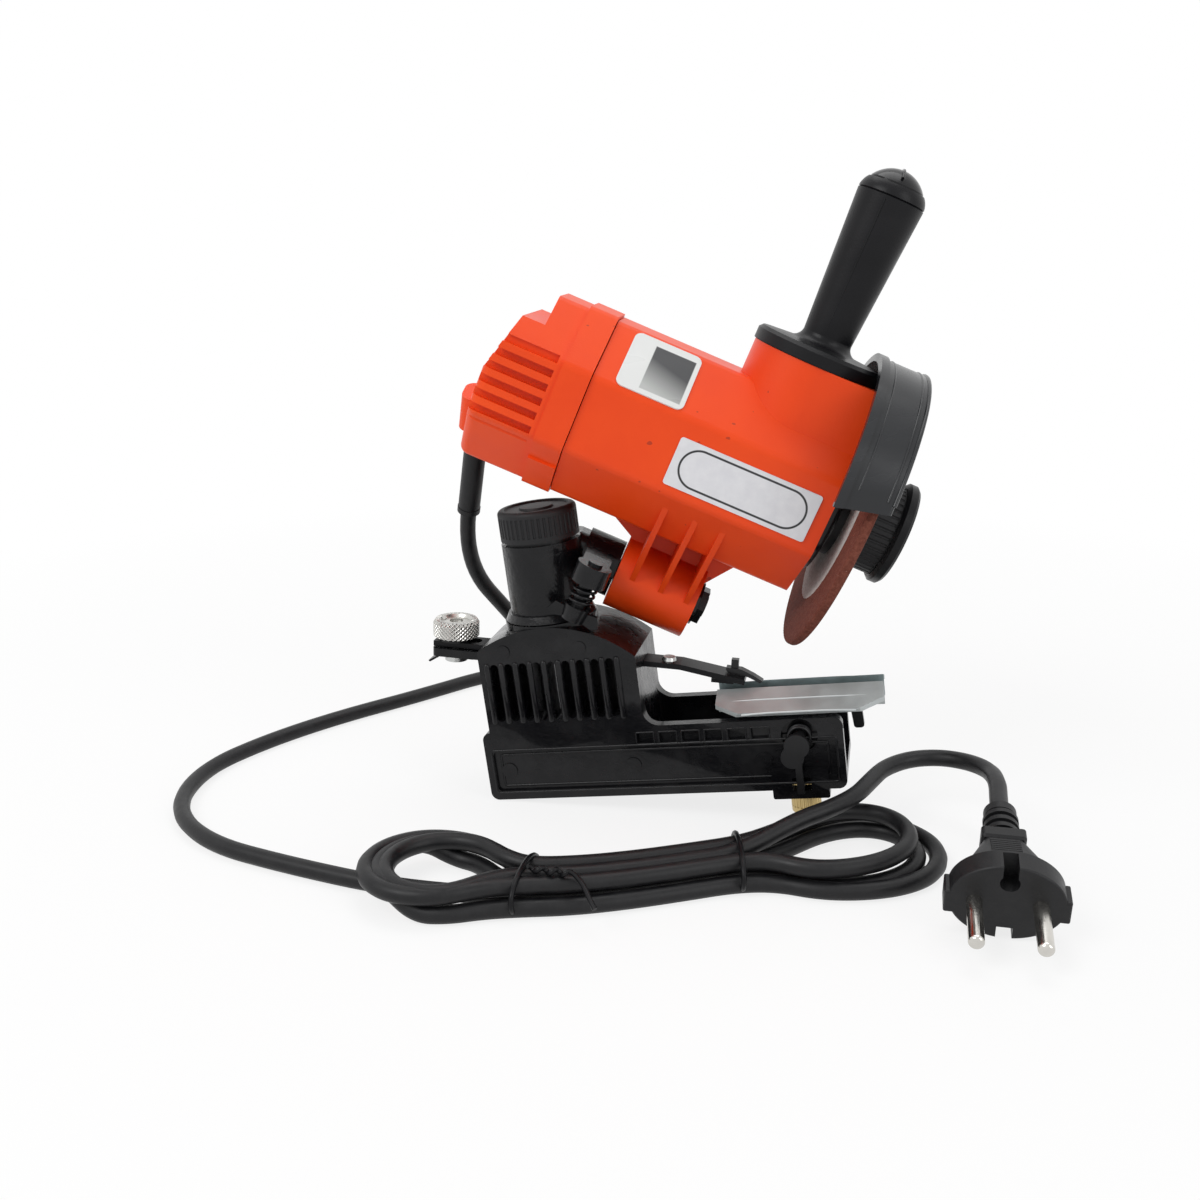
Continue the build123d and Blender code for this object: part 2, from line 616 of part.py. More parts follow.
with BuildPart() as cord_boot:
    with BuildSketch(outlet.offset(-BOOT_SEAT)):
        Circle(BOOT_R - RUN_GAP)
    extrude(amount=BOOT_LEN + BOOT_SEAT - 2.0)
    with BuildSketch(outlet.offset(BOOT_LEN - 2.0)):
        Circle(BOOT_R + BOOT_LIP)
    extrude(amount=2.0)
write(cord_boot, "cord_boot", HEAD)

# =====================================================================================
# Motor
# =====================================================================================
STATOR_R = BODY_R - SHELL_T
with BuildPart() as stator_core:
    with BuildSketch(across(-88)):
        Circle(STATOR_R)
        Circle(STATOR_R - 8, mode=Mode.SUBTRACT)
        with PolarLocations(STATOR_R - 10.5, 2, start_angle=90):
            Rectangle(6.0, 20.0)
        Circle(16.0, mode=Mode.SUBTRACT)
    extrude(amount=40)
write(stator_core, "stator_core", HEAD)

with BuildPart() as stator_coils:
    for side in (-1, 1):
        with BuildSketch(across(-94)):
            with Locations((side * 17.9, 0)):
                RectangleRounded(2.4, 12.0, 1.0)
        extrude(amount=52)
write(stator_coils, "stator_coils", HEAD)

with BuildPart() as rotor_core:
    with BuildSketch(across(-88)):
        Circle(14.8)
        Circle(SHAFT_R, mode=Mode.SUBTRACT)
        with PolarLocations(14.2, 12):
            Rectangle(3.0, 1.8, mode=Mode.SUBTRACT)
    extrude(amount=40)
write(rotor_core, "rotor_core", HEAD)

with BuildPart() as rotor_windings:
    for x in (-96, -48):
        with BuildSketch(across(x)):
            Circle(12.0)
            Circle(SHAFT_R, mode=Mode.SUBTRACT)
        extrude(amount=8)
write(rotor_windings, "rotor_windings", HEAD)

with BuildPart() as commutator:
    with BuildSketch(across(-112)):
        Circle(10.0)
        Circle(SHAFT_R, mode=Mode.SUBTRACT)
        with PolarLocations(10.0, 16):
            Rectangle(1.6, 0.5, mode=Mode.SUBTRACT)
    extrude(amount=14)
write(commutator, "commutator", HEAD)

with BuildPart() as carbon_brushes:
    for side in (-1, 1):
        with BuildSketch(across(-109)):
            with Locations((side * 14.9, 0)):
                Rectangle(9.6, 4.6)
        extrude(amount=7)
write(carbon_brushes, "carbon_brushes", HEAD)

SHAFT_X0 = SEAT_X - BEARING_T - 2.0
with BuildPart() as motor_shaft:
    with BuildSketch(across(SHAFT_X0)):
        Circle(SHAFT_R)
    extrude(amount=NUT_X1 - 1.0 - SHAFT_X0)
    chamfer(edges().group_by(Axis.X)[-1], 0.8)
write(motor_shaft, "motor_shaft", HEAD)

for label, x in (("rear_bearing", SEAT_X - BEARING_T), ("front_bearing", FRONT_X - BEARING_T - 2)):
    with BuildPart() as bearing:
        with BuildSketch(across(x)):
            Circle(BEARING_R)
            Circle(SHAFT_R + RUN_GAP, mode=Mode.SUBTRACT)
        extrude(amount=BEARING_T)
    write(bearing, label, HEAD)

with BuildPart() as cooling_fan:
    with BuildSketch(across(-36)):
        Circle(25.5)
        Circle(SHAFT_R, mode=Mode.SUBTRACT)
    extrude(amount=1.6)
    with BuildSketch(across(-34.4)):
        with PolarLocations(16.5, 12):
            Rectangle(16.0, 1.4, rotation=20)
    extrude(amount=8.0)
write(cooling_fan, "cooling_fan", HEAD)

with BuildPart() as nose_plate:
    with BuildSketch(across(FRONT_X)):
        Circle(24.0)
        Circle(SHAFT_R + 1.0, mode=Mode.SUBTRACT)
    extrude(amount=3.4)
    chamfer(edges().group_by(Axis.X)[-1].sort_by(Axis.Z)[-1], 1.0)
write(nose_plate, "nose_plate", HEAD)

# =====================================================================================
# Wheel and guard
# =====================================================================================
with BuildPart() as inner_flange:
    with BuildSketch(across(WHEEL_X0 - FLANGE_T)):
        Circle(FLANGE_R)
        Circle(SHAFT_R, mode=Mode.SUBTRACT)
    extrude(amount=FLANGE_T)
write(inner_flange, "inner_flange", HEAD)

with BuildPart() as grinding_wheel:
    with BuildSketch(across(WHEEL_X0)):
        Circle(WHEEL_R)
        Circle(SHAFT_R, mode=Mode.SUBTRACT)
    extrude(amount=WHEEL_T)
    fillet(edges().filter_by(lambda e: abs(e.bounding_box().size.Z - 2 * WHEEL_R) < 0.5), 1.2)
write(grinding_wheel, "grinding_wheel", HEAD)

with BuildPart() as wheel_nut:
    with BuildSketch(across(WHEEL_X0 + WHEEL_T)):
        Circle(NUT_R)
        Circle(SHAFT_R, mode=Mode.SUBTRACT)
    extrude(amount=NUT_X1 - WHEEL_X0 - WHEEL_T)
    with BuildSketch(across(GUARD_X1 + 0.8)):
        with PolarLocations(NUT_R + 0.1, NUT_RIBS):
            Circle(0.6)
    extrude(amount=NUT_X1 - GUARD_X1 - 1.2, mode=Mode.SUBTRACT)
write(wheel_nut, "wheel_nut", HEAD)

with BuildPart() as nut_disc:
    with BuildSketch(Plane.XY):
        with BuildLine():
            Polyline((NUT_X1, 0), (NUT_X1, DISC_R - 1.2), (NUT_X1 + 1.2, DISC_R), (NUT_X1 + DISC_T - 1, DISC_R),
                     (NUT_X1 + DISC_T, DISC_R - 1), (NUT_X1 + DISC_T, DISC_R - 3.4),
                     (NUT_X1 + DISC_T - 2.2, DISC_R - 4.6), (NUT_X1 + DISC_T - 2.2, 0), close=True)
        make_face()
    revolve(axis=Axis.X)
write(nut_disc, "nut_disc", HEAD)

with BuildPart() as guard:
    with BuildSketch(across(GUARD_X0)):
        Circle(GUARD_R)
        Circle(GUARD_R - GUARD_T, mode=Mode.SUBTRACT)
    extrude(amount=GUARD_X1 - GUARD_X0)
    # outer side plate with room for the nut
    with BuildSketch(across(GUARD_X1 - 1.6)):
        Circle(GUARD_R)
        Circle(NUT_R + 2.4, mode=Mode.SUBTRACT)
    extrude(amount=1.6)
    # bead round the open edge and two raised ribs over the top
    with BuildSketch(across(GUARD_X0)):
        Circle(GUARD_R + 0.9)
        Circle(GUARD_R - 0.4, mode=Mode.SUBTRACT)
    extrude(amount=3.0)
    fillet(edges().filter_by(lambda e: e.bounding_box().size.Z > 2 * GUARD_R - 0.5).group_by(Axis.X)[-1]
           .sort_by(SortBy.LENGTH)[-1], 1.2)
    # open below a slanting line
    with BuildSketch(Plane.XZ.offset(-80)):
        with BuildLine():
            Polyline((GUARD_X0 - 5, 7.0), (GUARD_X1 + 5, 13.6), (GUARD_X1 + 5, -80), (GUARD_X0 - 5, -80), close=True)
        make_face()
    extrude(amount=160, mode=Mode.SUBTRACT)
write(guard, "guard", HEAD)

with BuildPart() as guard_bracket:
    # bolted to the nose plate, hooked under the rim
    with BuildSketch(across(FRONT_X + 3.4)):
        with Locations((0, 36.5)):
            Rectangle(26.0, 29.0)
        Circle(NUT_R + 4, mode=Mode.SUBTRACT)
        Circle(GUARD_R - GUARD_T, mode=Mode.INTERSECT)
    extrude(amount=1.4)
write(guard_bracket, "guard_bracket", HEAD)

with BuildPart() as guard_clip:
    with BuildSketch(across(GUARD_X1)):
        with Locations((-27.0, 24.0)):
            SlotOverall(18.0, 6.0, rotation=62)
    extrude(amount=0.9)
    with BuildSketch(across(GUARD_X1 + 0.9)):
        with Locations((-29.0, 20.4)):
            Circle(2.6)
    extrude(amount=1.2)
write(guard_clip, "guard_clip", HEAD)

# =====================================================================================
# Handle with its switch
# =====================================================================================
DISC_Z0 = BOSS_TOP + HANDLE_GAP
DISC_Z1 = DISC_Z0 + HANDLE_DISC_T
with BuildPart() as handle:
    with BuildSketch(Plane.XZ):
        with BuildLine():
            Polyline((BOSS_X, DISC_Z0), (BOSS_X + HANDLE_DISC_R, DISC_Z0), (BOSS_X + HANDLE_DISC_R, DISC_Z1 - 1.2),
                     (BOSS_X + HANDLE_DISC_R - 1.2, DISC_Z1), (BOSS_X + GRIP_R0 + 3.0, DISC_Z1 + 0.8))
            RadiusArc((BOSS_X + GRIP_R0 + 3.0, DISC_Z1 + 0.8), (BOSS_X + GRIP_R0, DISC_Z1 + 4.2), 3.6)
            Polyline((BOSS_X + GRIP_R0, DISC_Z1 + 4.2), (BOSS_X + GRIP_R1, GRIP_TOP), (BOSS_X + GRIP_R1 - 0.4, GRIP_TOP + 0.3),
                     (BOSS_X + GRIP_R1, GRIP_TOP + 0.6))
            RadiusArc((BOSS_X + GRIP_R1, GRIP_TOP + 0.6), (BOSS_X + COLLAR_R, COLLAR_TOP), -7.0)
            Polyline((BOSS_X + COLLAR_R, COLLAR_TOP), (BOSS_X, COLLAR_TOP), (BOSS_X, DISC_Z0))
        make_face()
    revolve(axis=Axis((BOSS_X, 0, 0), (0, 0, 1)))
    with BuildSketch(Plane.XY.offset(COLLAR_TOP)):
        with Locations((BOSS_X, 0)):
            Circle(BUTTON_R + 0.3)
    extrude(amount=-9, mode=Mode.SUBTRACT)
    with BuildSketch(Plane.XY.offset(COLLAR_TOP)):
        with Locations((BOSS_X, 0)):
            Circle(SWITCH_R)
    extrude(amount=-26, mode=Mode.SUBTRACT)
write(handle, "handle", HEAD)

with BuildPart() as switch_body:
    with BuildSketch(Plane.XY.offset(COLLAR_TOP - 25.5)):
        with Locations((BOSS_X, 0)):
            RectangleRounded(10.5, 10.5, 1.0)
    extrude(amount=15)
write(switch_body, "switch_body", HEAD)

DOME_H = BUTTON_TOP - COLLAR_TOP - 0.6
DOME_R = (BUTTON_R ** 2 + DOME_H ** 2) / (2 * DOME_H)
DOME_HALF = atan2(BUTTON_R, DOME_R - DOME_H) / 2
with BuildPart() as switch_button:
    with BuildSketch(Plane.XZ):
        with BuildLine():
            Polyline((BOSS_X, BUTTON_TOP), (BOSS_X, COLLAR_TOP - 5.4), (BOSS_X + BUTTON_R, COLLAR_TOP - 5.4),
                     (BOSS_X + BUTTON_R, COLLAR_TOP + 0.6))
            ThreePointArc((BOSS_X + BUTTON_R, COLLAR_TOP + 0.6),
                          (BOSS_X + DOME_R * sin(DOME_HALF), BUTTON_TOP - DOME_R * (1 - cos(DOME_HALF))),
                          (BOSS_X, BUTTON_TOP))
        make_face()
    revolve(axis=Axis((BOSS_X, 0, 0), (0, 0, 1)))
write(switch_button, "switch_button", HEAD)

# =====================================================================================
# Blank label plates on the housing
# =====================================================================================
facet = Plane(Location((-77.5, 0, 0), (45, 0, 0)))
with BuildPart() as rating_plate:
    with BuildSketch(facet.offset(BODY_R + 0.02)):
        RectangleRounded(24.0, 23.6, 2.6)
    extrude(amount=PLATE_T)
write(rating_plate, "rating_plate", HEAD)

with BuildPart() as name_plate:
    with BuildSketch(Plane.XZ.offset(BODY_R + 0.02)):
        with Locations((-37.0, -1.6)):
            RectangleRounded(50.5, 16.6, 1.0)
    extrude(amount=PLATE_T)
write(name_plate, "name_plate", HEAD)

# =====================================================================================
# Chain vice
# =====================================================================================
BLOCK_TOP = 22.0
LEG_Z = 16.0             # foot of the jaws' legs
CLAMP_X = VICE_X + CLAMP_OFFSET
LEVER_T = 2.4
with BuildPart() as vice_block:
    with BuildSketch(Plane.XY.offset(FLOOR_T + 0.3)):
        with Locations((VICE_X, 0)):
            Circle(VICE_BLOCK_W / 2)
    extrude(amount=BLOCK_TOP - FLOOR_T - 0.3)
    # slots for the legs of the moving and the fixed jaw
    with BuildSketch(Plane.YZ.offset(VICE_X - 15)):
        with Locations((-JAW_GAP / 2 - JAW_T / 2 + JAW_TRAVEL / 2, LEG_Z + 4.5)):
            Rectangle(JAW_T + JAW_TRAVEL + 0.8, 9.0)
        with Locations((JAW_GAP / 2 + JAW_T / 2, LEG_Z + 4.5)):
            Rectangle(JAW_T, 9.0)
    extrude(amount=30, mode=Mode.SUBTRACT)
    with Locations((VICE_X, 0, BLOCK_TOP)):
        Hole(3.0, depth=BLOCK_TOP)
    # cross hole for the clamp screw
    with BuildSketch(Plane.XZ.offset(-HALF_W)):
        with Locations((VICE_X + CLAMP_OFFSET, CLAMP_Z)):
            Circle(CLAMP_R + 0.5)
    extrude(amount=BASE_W, mode=Mode.SUBTRACT)
write(vice_block, "vice_block", TOOL)

with BuildPart() as vice_bolt:
    with BuildSketch(Plane.XY.offset(-KNOB_DROP + 2)):
        with Locations((VICE_X, 0)):
            Circle(3.0)
    extrude(amount=KNOB_DROP - 2 + 14.0)
write(vice_bolt, "vice_bolt", TOOL)

with BuildPart() as vice_knob:
    with BuildSketch(Plane.XY.offset(-KNOB_DROP)):
        with Locations((VICE_X, 0)):
            Circle(KNOB_R)
    extrude(amount=KNOB_DROP - 0.4)
    with BuildSketch(Plane.XY.offset(-0.4)):
        with Locations((VICE_X, 0)):
            Circle(3.0 + RUN_GAP)
    extrude(amount=-KNOB_DROP + 1.6, mode=Mode.SUBTRACT)
    with BuildSketch(Plane.XY.offset(-KNOB_DROP + 2.0)):
        with Locations((VICE_X, 0)):
            with PolarLocations(KNOB_R + 0.1, 24):
                Circle(0.45)
    extrude(amount=KNOB_DROP - 3.4, mode=Mode.SUBTRACT)
write(vice_knob, "vice_knob", TOOL)


def jaw(label, side, top, stand):
    """Bent sheet jaw: an upright leg, a flange sloping outward and a pressed bead along it."""
    face_y = side * JAW_GAP / 2
    back_y = face_y + side * JAW_T
    with BuildPart() as piece:
        with BuildSketch(Plane.YZ.offset(JAW_X0)):
            with BuildLine():
                Polyline((face_y, top - 8), (face_y, top), (face_y + side * 13.0, top - 4.8),
                         (face_y + side * 12.6, top - 6.3), (back_y, top - 2.2), (back_y, top - 8), close=True)
            make_face()
        extrude(amount=JAW_X1 - JAW_X0)
        # legs into the vice block
        with BuildSketch(Plane.XZ.offset(-face_y)):
            with Locations((VICE_X - 6.0, (LEG_Z + top - 7) / 2)):
                Rectangle(6.0, top - 7 - LEG_Z)
        extrude(amount=-side * JAW_T)
        # the flange's outer corners are cut back
        with BuildSketch(Plane.XY.offset(top - 9)):
            for end, inward in ((JAW_X0, 1), (JAW_X1, -1)):
                with BuildLine():
                    Polyline((end, face_y + side * 8.0), (end + inward * 9.0, face_y + side * 13.4),
                             (end, face_y + side * 13.4), close=True)
                make_face()
        extrude(amount=12, mode=Mode.SUBTRACT)
    write(piece, label, stand)


jaw("near_jaw", -1, JAW_TOP, TOOL)
jaw("far_jaw", 1, JAW_TOP + 0.8, TOOL)

with BuildPart() as clamp_screw:
    # rod through both walls, with a collar outside the far wall and the lever's seat behind it
    with BuildSketch(Plane.XZ.offset(HALF_W + 3.2)):
        with Locations((CLAMP_X, CLAMP_Z)):
            Circle(CLAMP_R)
    extrude(amount=-(BASE_W + 3.2 + LEVER_T + 4.0))
    with BuildSketch(Plane.XZ.offset(-HALF_W)):
        with Locations((CLAMP_X, CLAMP_Z)):
            Circle(4.6)
    extrude(amount=-1.6)
write(clamp_screw, "clamp_screw", TOOL)

with BuildPart() as clamp_spring:
    coil_spring((CLAMP_X, -HALF_W + 1.9, CLAMP_Z), (0, -1, 0), 3.7, 1.9, 4.2, SPRING_WIRE)
write(clamp_spring, "clamp_spring", TOOL)

with BuildPart() as clamp_link:
    # flat eye in front of the spring, with a rod hooked into the lug's window
    with BuildSketch(Plane.XZ.offset(HALF_W + 3.3)):
        with Locations((CLAMP_X - 2.6, CLAMP_Z - 6.0)):
            Circle(4.0)
        with Locations((CLAMP_X - 0.8, CLAMP_Z - 2.0)):
            Circle(4.4)
        with Locations((CLAMP_X - 0.7, (CLAMP_Z + 1.0) / 2 - 2)):
            Rectangle(2.4, CLAMP_Z - 4)
    extrude(amount=1.8)
    with BuildSketch(Plane.XZ.offset(HALF_W + 3.3)):
        with Locations((CLAMP_X - 0.7, 2.0)):
            Circle(1.2)
    extrude(amount=-6.0)
write(clamp_link, "clamp_link", TOOL)

with BuildPart() as clamp_lever:
    # flat lever on the far side: hub, arm past the toe, handle hanging down
    with BuildSketch(Plane.XZ.offset(-HALF_W - 1.9)):
        with BuildLine():
            Polyline((CLAMP_X - 4.0, CLAMP_Z - 2.0), (CLAMP_X - 3.0, CLAMP_Z + 4.6), (CLAMP_X + 14.0, CLAMP_Z + 6.0),
                     (CLAMP_X + 19.6, CLAMP_Z + 4.4), (CLAMP_X + 20.6, CLAMP_Z - 11.5), (CLAMP_X + 16.8, CLAMP_Z - 11.5),
                     (CLAMP_X + 15.6, CLAMP_Z + 0.2), (CLAMP_X + 4.0, CLAMP_Z - 3.0), close=True)
        make_face()
        fillet(vertices(), 1.2)
        with Locations((CLAMP_X, CLAMP_Z)):
            Circle(5.0)
            Circle(CLAMP_R + RUN_GAP, mode=Mode.SUBTRACT)
    extrude(amount=-LEVER_T)
write(clamp_lever, "clamp_lever", TOOL)

# =====================================================================================
# Chain stop
# =====================================================================================


STOP_BEND_ANGLE = atan2(STOP_END_DROP, STOP_X1 - STOP_BEND)


def stop_drop(x):
    """Height of the stop bar's middle over its own straight line, at x along the bar."""
    return -max(0.0, x - STOP_BEND) * tan(STOP_BEND_ANGLE)


with BuildPart() as stop_bar:
    with BuildSketch(Plane.XZ.offset(-STOP_W / 2)):
        with BuildLine():
            Polyline((STOP_X0, -STOP_T / 2), (STOP_BEND, -STOP_T / 2), (STOP_X1, -STOP_T / 2 - STOP_END_DROP),
                     (STOP_X1, STOP_T / 2 - STOP_END_DROP), (STOP_BEND, STOP_T / 2), (STOP_X0, STOP_T / 2), close=True)
        make_face()
    extrude(amount=STOP_W)
    # long hole that the bar slides along on the thumb screw
    with BuildSketch(Plane.XY.offset(-STOP_T)):
        with Locations((THUMB_X + STOP_TRAVEL_OUT / 2, 0)):
            SlotOverall(STOP_TRAVEL_OUT + 2 * THUMB_SCREW_R + 3.0, 2 * THUMB_SCREW_R + 0.4)
    extrude(amount=2 * STOP_T, mode=Mode.SUBTRACT)
    # rest pad under the end
    with BuildSketch(Plane.XZ.offset(-3.0)):
        with Locations((STOP_X1 - 8.0, stop_drop(STOP_X1 - 8.0) - STOP_T)):
            Rectangle(8.0, 1.4)
    extrude(amount=6.0)
write(stop_bar, "stop_bar", STOP)

with BuildPart() as stop_rivet:
    with BuildSketch(Plane.XY.offset(STOP_T / 2)):
        with Locations((42.0, 0)):
            Circle(2.7)
    extrude(amount=1.2, taper=20)
write(stop_rivet, "stop_rivet", STOP)

PAWL_X = 66.0
PAWL_GAP = 0.3
with BuildPart() as stop_pawl:
    # folded tip that the chain's cutter rests against, with an upright tab
    low = stop_drop(PAWL_X - 3) + STOP_T / 2 + PAWL_GAP + 0.05
    with BuildSketch(Plane.XZ.offset(-1.7)):
        with BuildLine():
            Polyline((PAWL_X - 2.2, low - 0.12), (PAWL_X - 3, low + 0.8), (PAWL_X - 3, low + 1.7), (PAWL_X + 2.5, low + 1.5), (PAWL_X + 7, low - 0.4),
                     (PAWL_X + 10.4, low - 2.3), (PAWL_X + 9.4, low - 3.0), (PAWL_X + 5.4, low - 1.3),
                     (PAWL_X + 4.4, low - 1.05), close=True)
        make_face()
    extrude(amount=3.4)
    with BuildSketch(Plane.XZ.offset(-1.2)):
        with Locations((PAWL_X, low + 3.0)):
            Rectangle(2.6, 3.6)
    extrude(amount=2.4)
write(stop_pawl, "stop_pawl", STOP)

with BuildPart() as stop_leaf:
    # spring leaf with a bent-down end, held below the ear
    leaf_top = -STOP_T / 2 - STOP_SLOT_GAP - EAR_T - 0.1
    with BuildSketch(Plane.XZ.offset(-4.5)):
        with BuildLine():
            Polyline((-31.0, leaf_top), (-44.5, leaf_top), (-48.6, leaf_top - 2.6), (-48.0, leaf_top - 3.1),
                     (-44.2, leaf_top - 0.7), (-31.0, leaf_top - 0.7), close=True)
        make_face()
    extrude(amount=9.0)
    with BuildSketch(Plane.XY.offset(leaf_top - 3)):
        with Locations((THUMB_X, 0)):
            Circle(THUMB_SCREW_R)
    extrude(amount=4, mode=Mode.SUBTRACT)
write(stop_leaf, "stop_leaf", STOP)

WASHER_Z = STOP_T / 2 + 0.1
WASHER_T = 1.2
NUT_Z0 = WASHER_Z + WASHER_T + 0.1
NUT_H = 6.6
with BuildPart() as thumb_screw:
    with BuildSketch(Plane.XY.offset(leaf_top - 2.5)):
        with Locations((THUMB_X, 0)):
            Circle(4.3)
    extrude(amount=1.8)
    with BuildSketch(Plane.XY.offset(leaf_top - 2.5)):
        with Locations((THUMB_X, 0)):
            Circle(THUMB_SCREW_R)
    extrude(amount=NUT_Z0 + NUT_H - 2.2 - leaf_top + 2.5)
write(thumb_screw, "thumb_screw", STOP)

with BuildPart() as thumb_washer:
    with BuildSketch(Plane.XY.offset(WASHER_Z)):
        with Locations((THUMB_X, 0)):
            Circle(6.4)
            Circle(THUMB_SCREW_R + 0.1, mode=Mode.SUBTRACT)
    extrude(amount=WASHER_T)
write(thumb_washer, "thumb_washer", STOP)

with BuildPart() as thumb_nut:
    bore = THUMB_SCREW_R + RUN_GAP
    with BuildSketch(Plane.XZ):
        with BuildLine():
            Polyline((THUMB_X + bore, NUT_Z0), (THUMB_X + THUMB_R - 0.6, NUT_Z0), (THUMB_X + THUMB_R, NUT_Z0 + 0.6),
                     (THUMB_X + THUMB_R, NUT_Z0 + NUT_H - 1.2), (THUMB_X + THUMB_R - 0.8, NUT_Z0 + NUT_H),
                     (THUMB_X + 6.0, NUT_Z0 + NUT_H), (THUMB_X + 5.2, NUT_Z0 + NUT_H - 1.0),
                     (THUMB_X + bore, NUT_Z0 + NUT_H - 0.8), close=True)
        make_face()
    revolve(axis=Axis((THUMB_X, 0, 0), (0, 0, 1)))
write(thumb_nut, "thumb_nut", STOP)

# =====================================================================================
# Cord: lead from the boot to the hank, the hank, its tail and the plug
# =====================================================================================
BOOT_END = (HEAD * Location(outlet.offset(BOOT_LEN).origin)).position
BOOT_WAY = (HEAD * Location(outlet.offset(BOOT_LEN + 1).origin)).position - BOOT_END
LEAD = [
    tuple(BOOT_END),
    tuple(BOOT_END + BOOT_WAY * 24),
    (-66, 23, 55), (-52, 41, 28), (-41, 67, 5.5), (-43, 95, CORD_D / 2), (-67, 113, CORD_D / 2),
    (-98, 101, CORD_D / 2), (-123, 63, CORD_D / 2), (-147, 31, CORD_D / 2), (-165, -1, CORD_D / 2),
    (-176, -33, CORD_D / 2), (-169, -67, CORD_D / 2), (-144, -90, CORD_D / 2), (-109, -99, CORD_D / 2),
    (-69, -106, CORD_D / 2 + 0.4),
]
PLUG_END = (118, -51, 22.6)  # where the cord enters the plug's relief
TAIL = [
    (35, -69, 12), (53, -56, 16.5), (70, -42, 18.5), (79, -20, 19.5), (90.5, -6, 20.5), (105.5, -5.5, 22),
    (117, -16, 23.5), (119.6, -31, 25), PLUG_END,
]


def corner_radii(spots):
    """Largest arc that each inner point's two runs allow, and no two arcs share a run's middle."""
    runs = [b - a for a, b in zip(spots, spots[1:])]
    radii = []
    for before, after in zip(runs, runs[1:]):
        half_turn = radians(before.get_angle(after)) / 2
        radii.append(0.45 * min(before.length, after.length) / tan(half_turn))
    return radii


with BuildPart() as cord_tube:
    # round cord along straight runs joined by tangent arcs
    cord_length = 0.0
    for points in (LEAD, TAIL):
        spots = [Vector(*p) for p in points]
        radii = corner_radii(spots)
        with BuildLine() as path:
            FilletPolyline(*spots, radius=radii)
        with BuildSketch(Plane(origin=path.line @ 0, z_dir=path.line % 0)) as section:
            Circle(CORD_D / 2)
        sweep(sections=section.sketch, path=path.line)
        cord_length += sum(edge.length for edge in path.line.edges())
        print("cord radii", [round(r) for r in radii])
    area = section.sketch.area
    print("cord length", round(cord_length, 1), "volume ratio", round(cord_tube.part.volume / (cord_length * area), 4))
write(cord_tube, "cord_tube", TABLE)

HANK_OUTLINE = [
    (-77, -93), (-71, -73), (-55, -66), (-25, -68), (7, -61), (40, -48), (65, -36.5), (83, -34), (96, -39),
    (99, -53), (91, -69), (75, -77), (50, -85), (27, -97), (0, -104), (-17, -112), (-31, -123), (-47, -129),
    (-63, -123), (-75, -109),
]
with BuildPart() as cord_hank:
    with BuildSketch(Plane.XY):
        with BuildLine():
            Spline(*HANK_OUTLINE, periodic=True)
        make_face()
    extrude(amount=HANK_H)
write(cord_hank, "cord_hank", TABLE)

plug_home = Location(PLUG_END) * Location((0, 0, 0), (90 + PLUG_TILT, 0, 0))
with BuildPart() as plug_body:
    # strain relief with three ribs, square neck, flaring grip and a rounded face
    with BuildSketch(Plane.XY):
        Circle(4.6)
    extrude(amount=RELIEF_LEN)
    for z in (4.2, 7.8, 11.4):
        with BuildSketch(Plane.XY.offset(z)):
            Circle(5.6)
        extrude(amount=1.8)
    with BuildSketch():
        Circle(5.2)
    extrude(amount=3.2)
    with BuildSketch(Plane.XY.offset(RELIEF_LEN)):
        RectangleRounded(13.6, 11.4, 1.2)
    extrude(amount=NECK_LEN)
    chamfer(edges().group_by(Axis.Z)[-1], 0.8)
    with BuildSketch(Plane.XY.offset(RELIEF_LEN + NECK_LEN - 1)):
        RectangleRounded(11.0, 9.6, 1.6)
    with BuildSketch(Plane.XY.offset(PLUG_LEN - FACE_T)):
        RectangleRounded(25.0, 19.0, 4.0)
    loft(ruled=True)
    with BuildSketch(Plane.XY.offset(PLUG_LEN - FACE_T)):
        Ellipse(PLUG_FACE[0] / 2, PLUG_FACE[1] / 2)
        with Locations((0, -1.5)):
            RectangleRounded(PLUG_FACE[0] + 2.4, 8.0, 0.6)
    extrude(amount=FACE_T)
    fillet(edges().group_by(Axis.Z)[-1], 0.8)
    # groove along the top that ends in a round hole, and a slot at the foot of the face
    with BuildSketch(Plane.XY.offset(PLUG_LEN)):
        with Locations((0, PLUG_FACE[1] / 2 - 1.0)):
            Rectangle(4.4, 9.0)
        with Locations((0, PLUG_FACE[1] / 2 - 6.0)):
            Circle(2.9)
        with Locations((0, -PLUG_FACE[1] / 2)):
            Rectangle(4.8, 9.0)
    extrude(amount=-(FACE_T - 1.0), mode=Mode.SUBTRACT)
    # fine finger ribs on both flats of the grip
    for side in (-1, 1):
        for n in range(GRIP_RIBS):
            z = RELIEF_LEN + NECK_LEN + 1.6 + n * 1.4
            rise = 9.6 + (19.0 - 9.6) * (z - RELIEF_LEN - NECK_LEN + 1) / (PLUG_LEN - FACE_T - RELIEF_LEN - NECK_LEN + 1)
            with BuildSketch(Plane.XY.offset(z)):
                with Locations((0, side * rise / 2)):
                    Rectangle(9.0, 0.9)
            extrude(amount=0.7)
    with BuildSketch(Plane.XY.offset(PLUG_LEN)):
        with GridLocations(PIN_PITCH, 1, 2, 1):
            Circle(PIN_ROOT_R)
    extrude(amount=-PIN_HOLD, mode=Mode.SUBTRACT)
write(plug_body, "plug_body", plug_home)

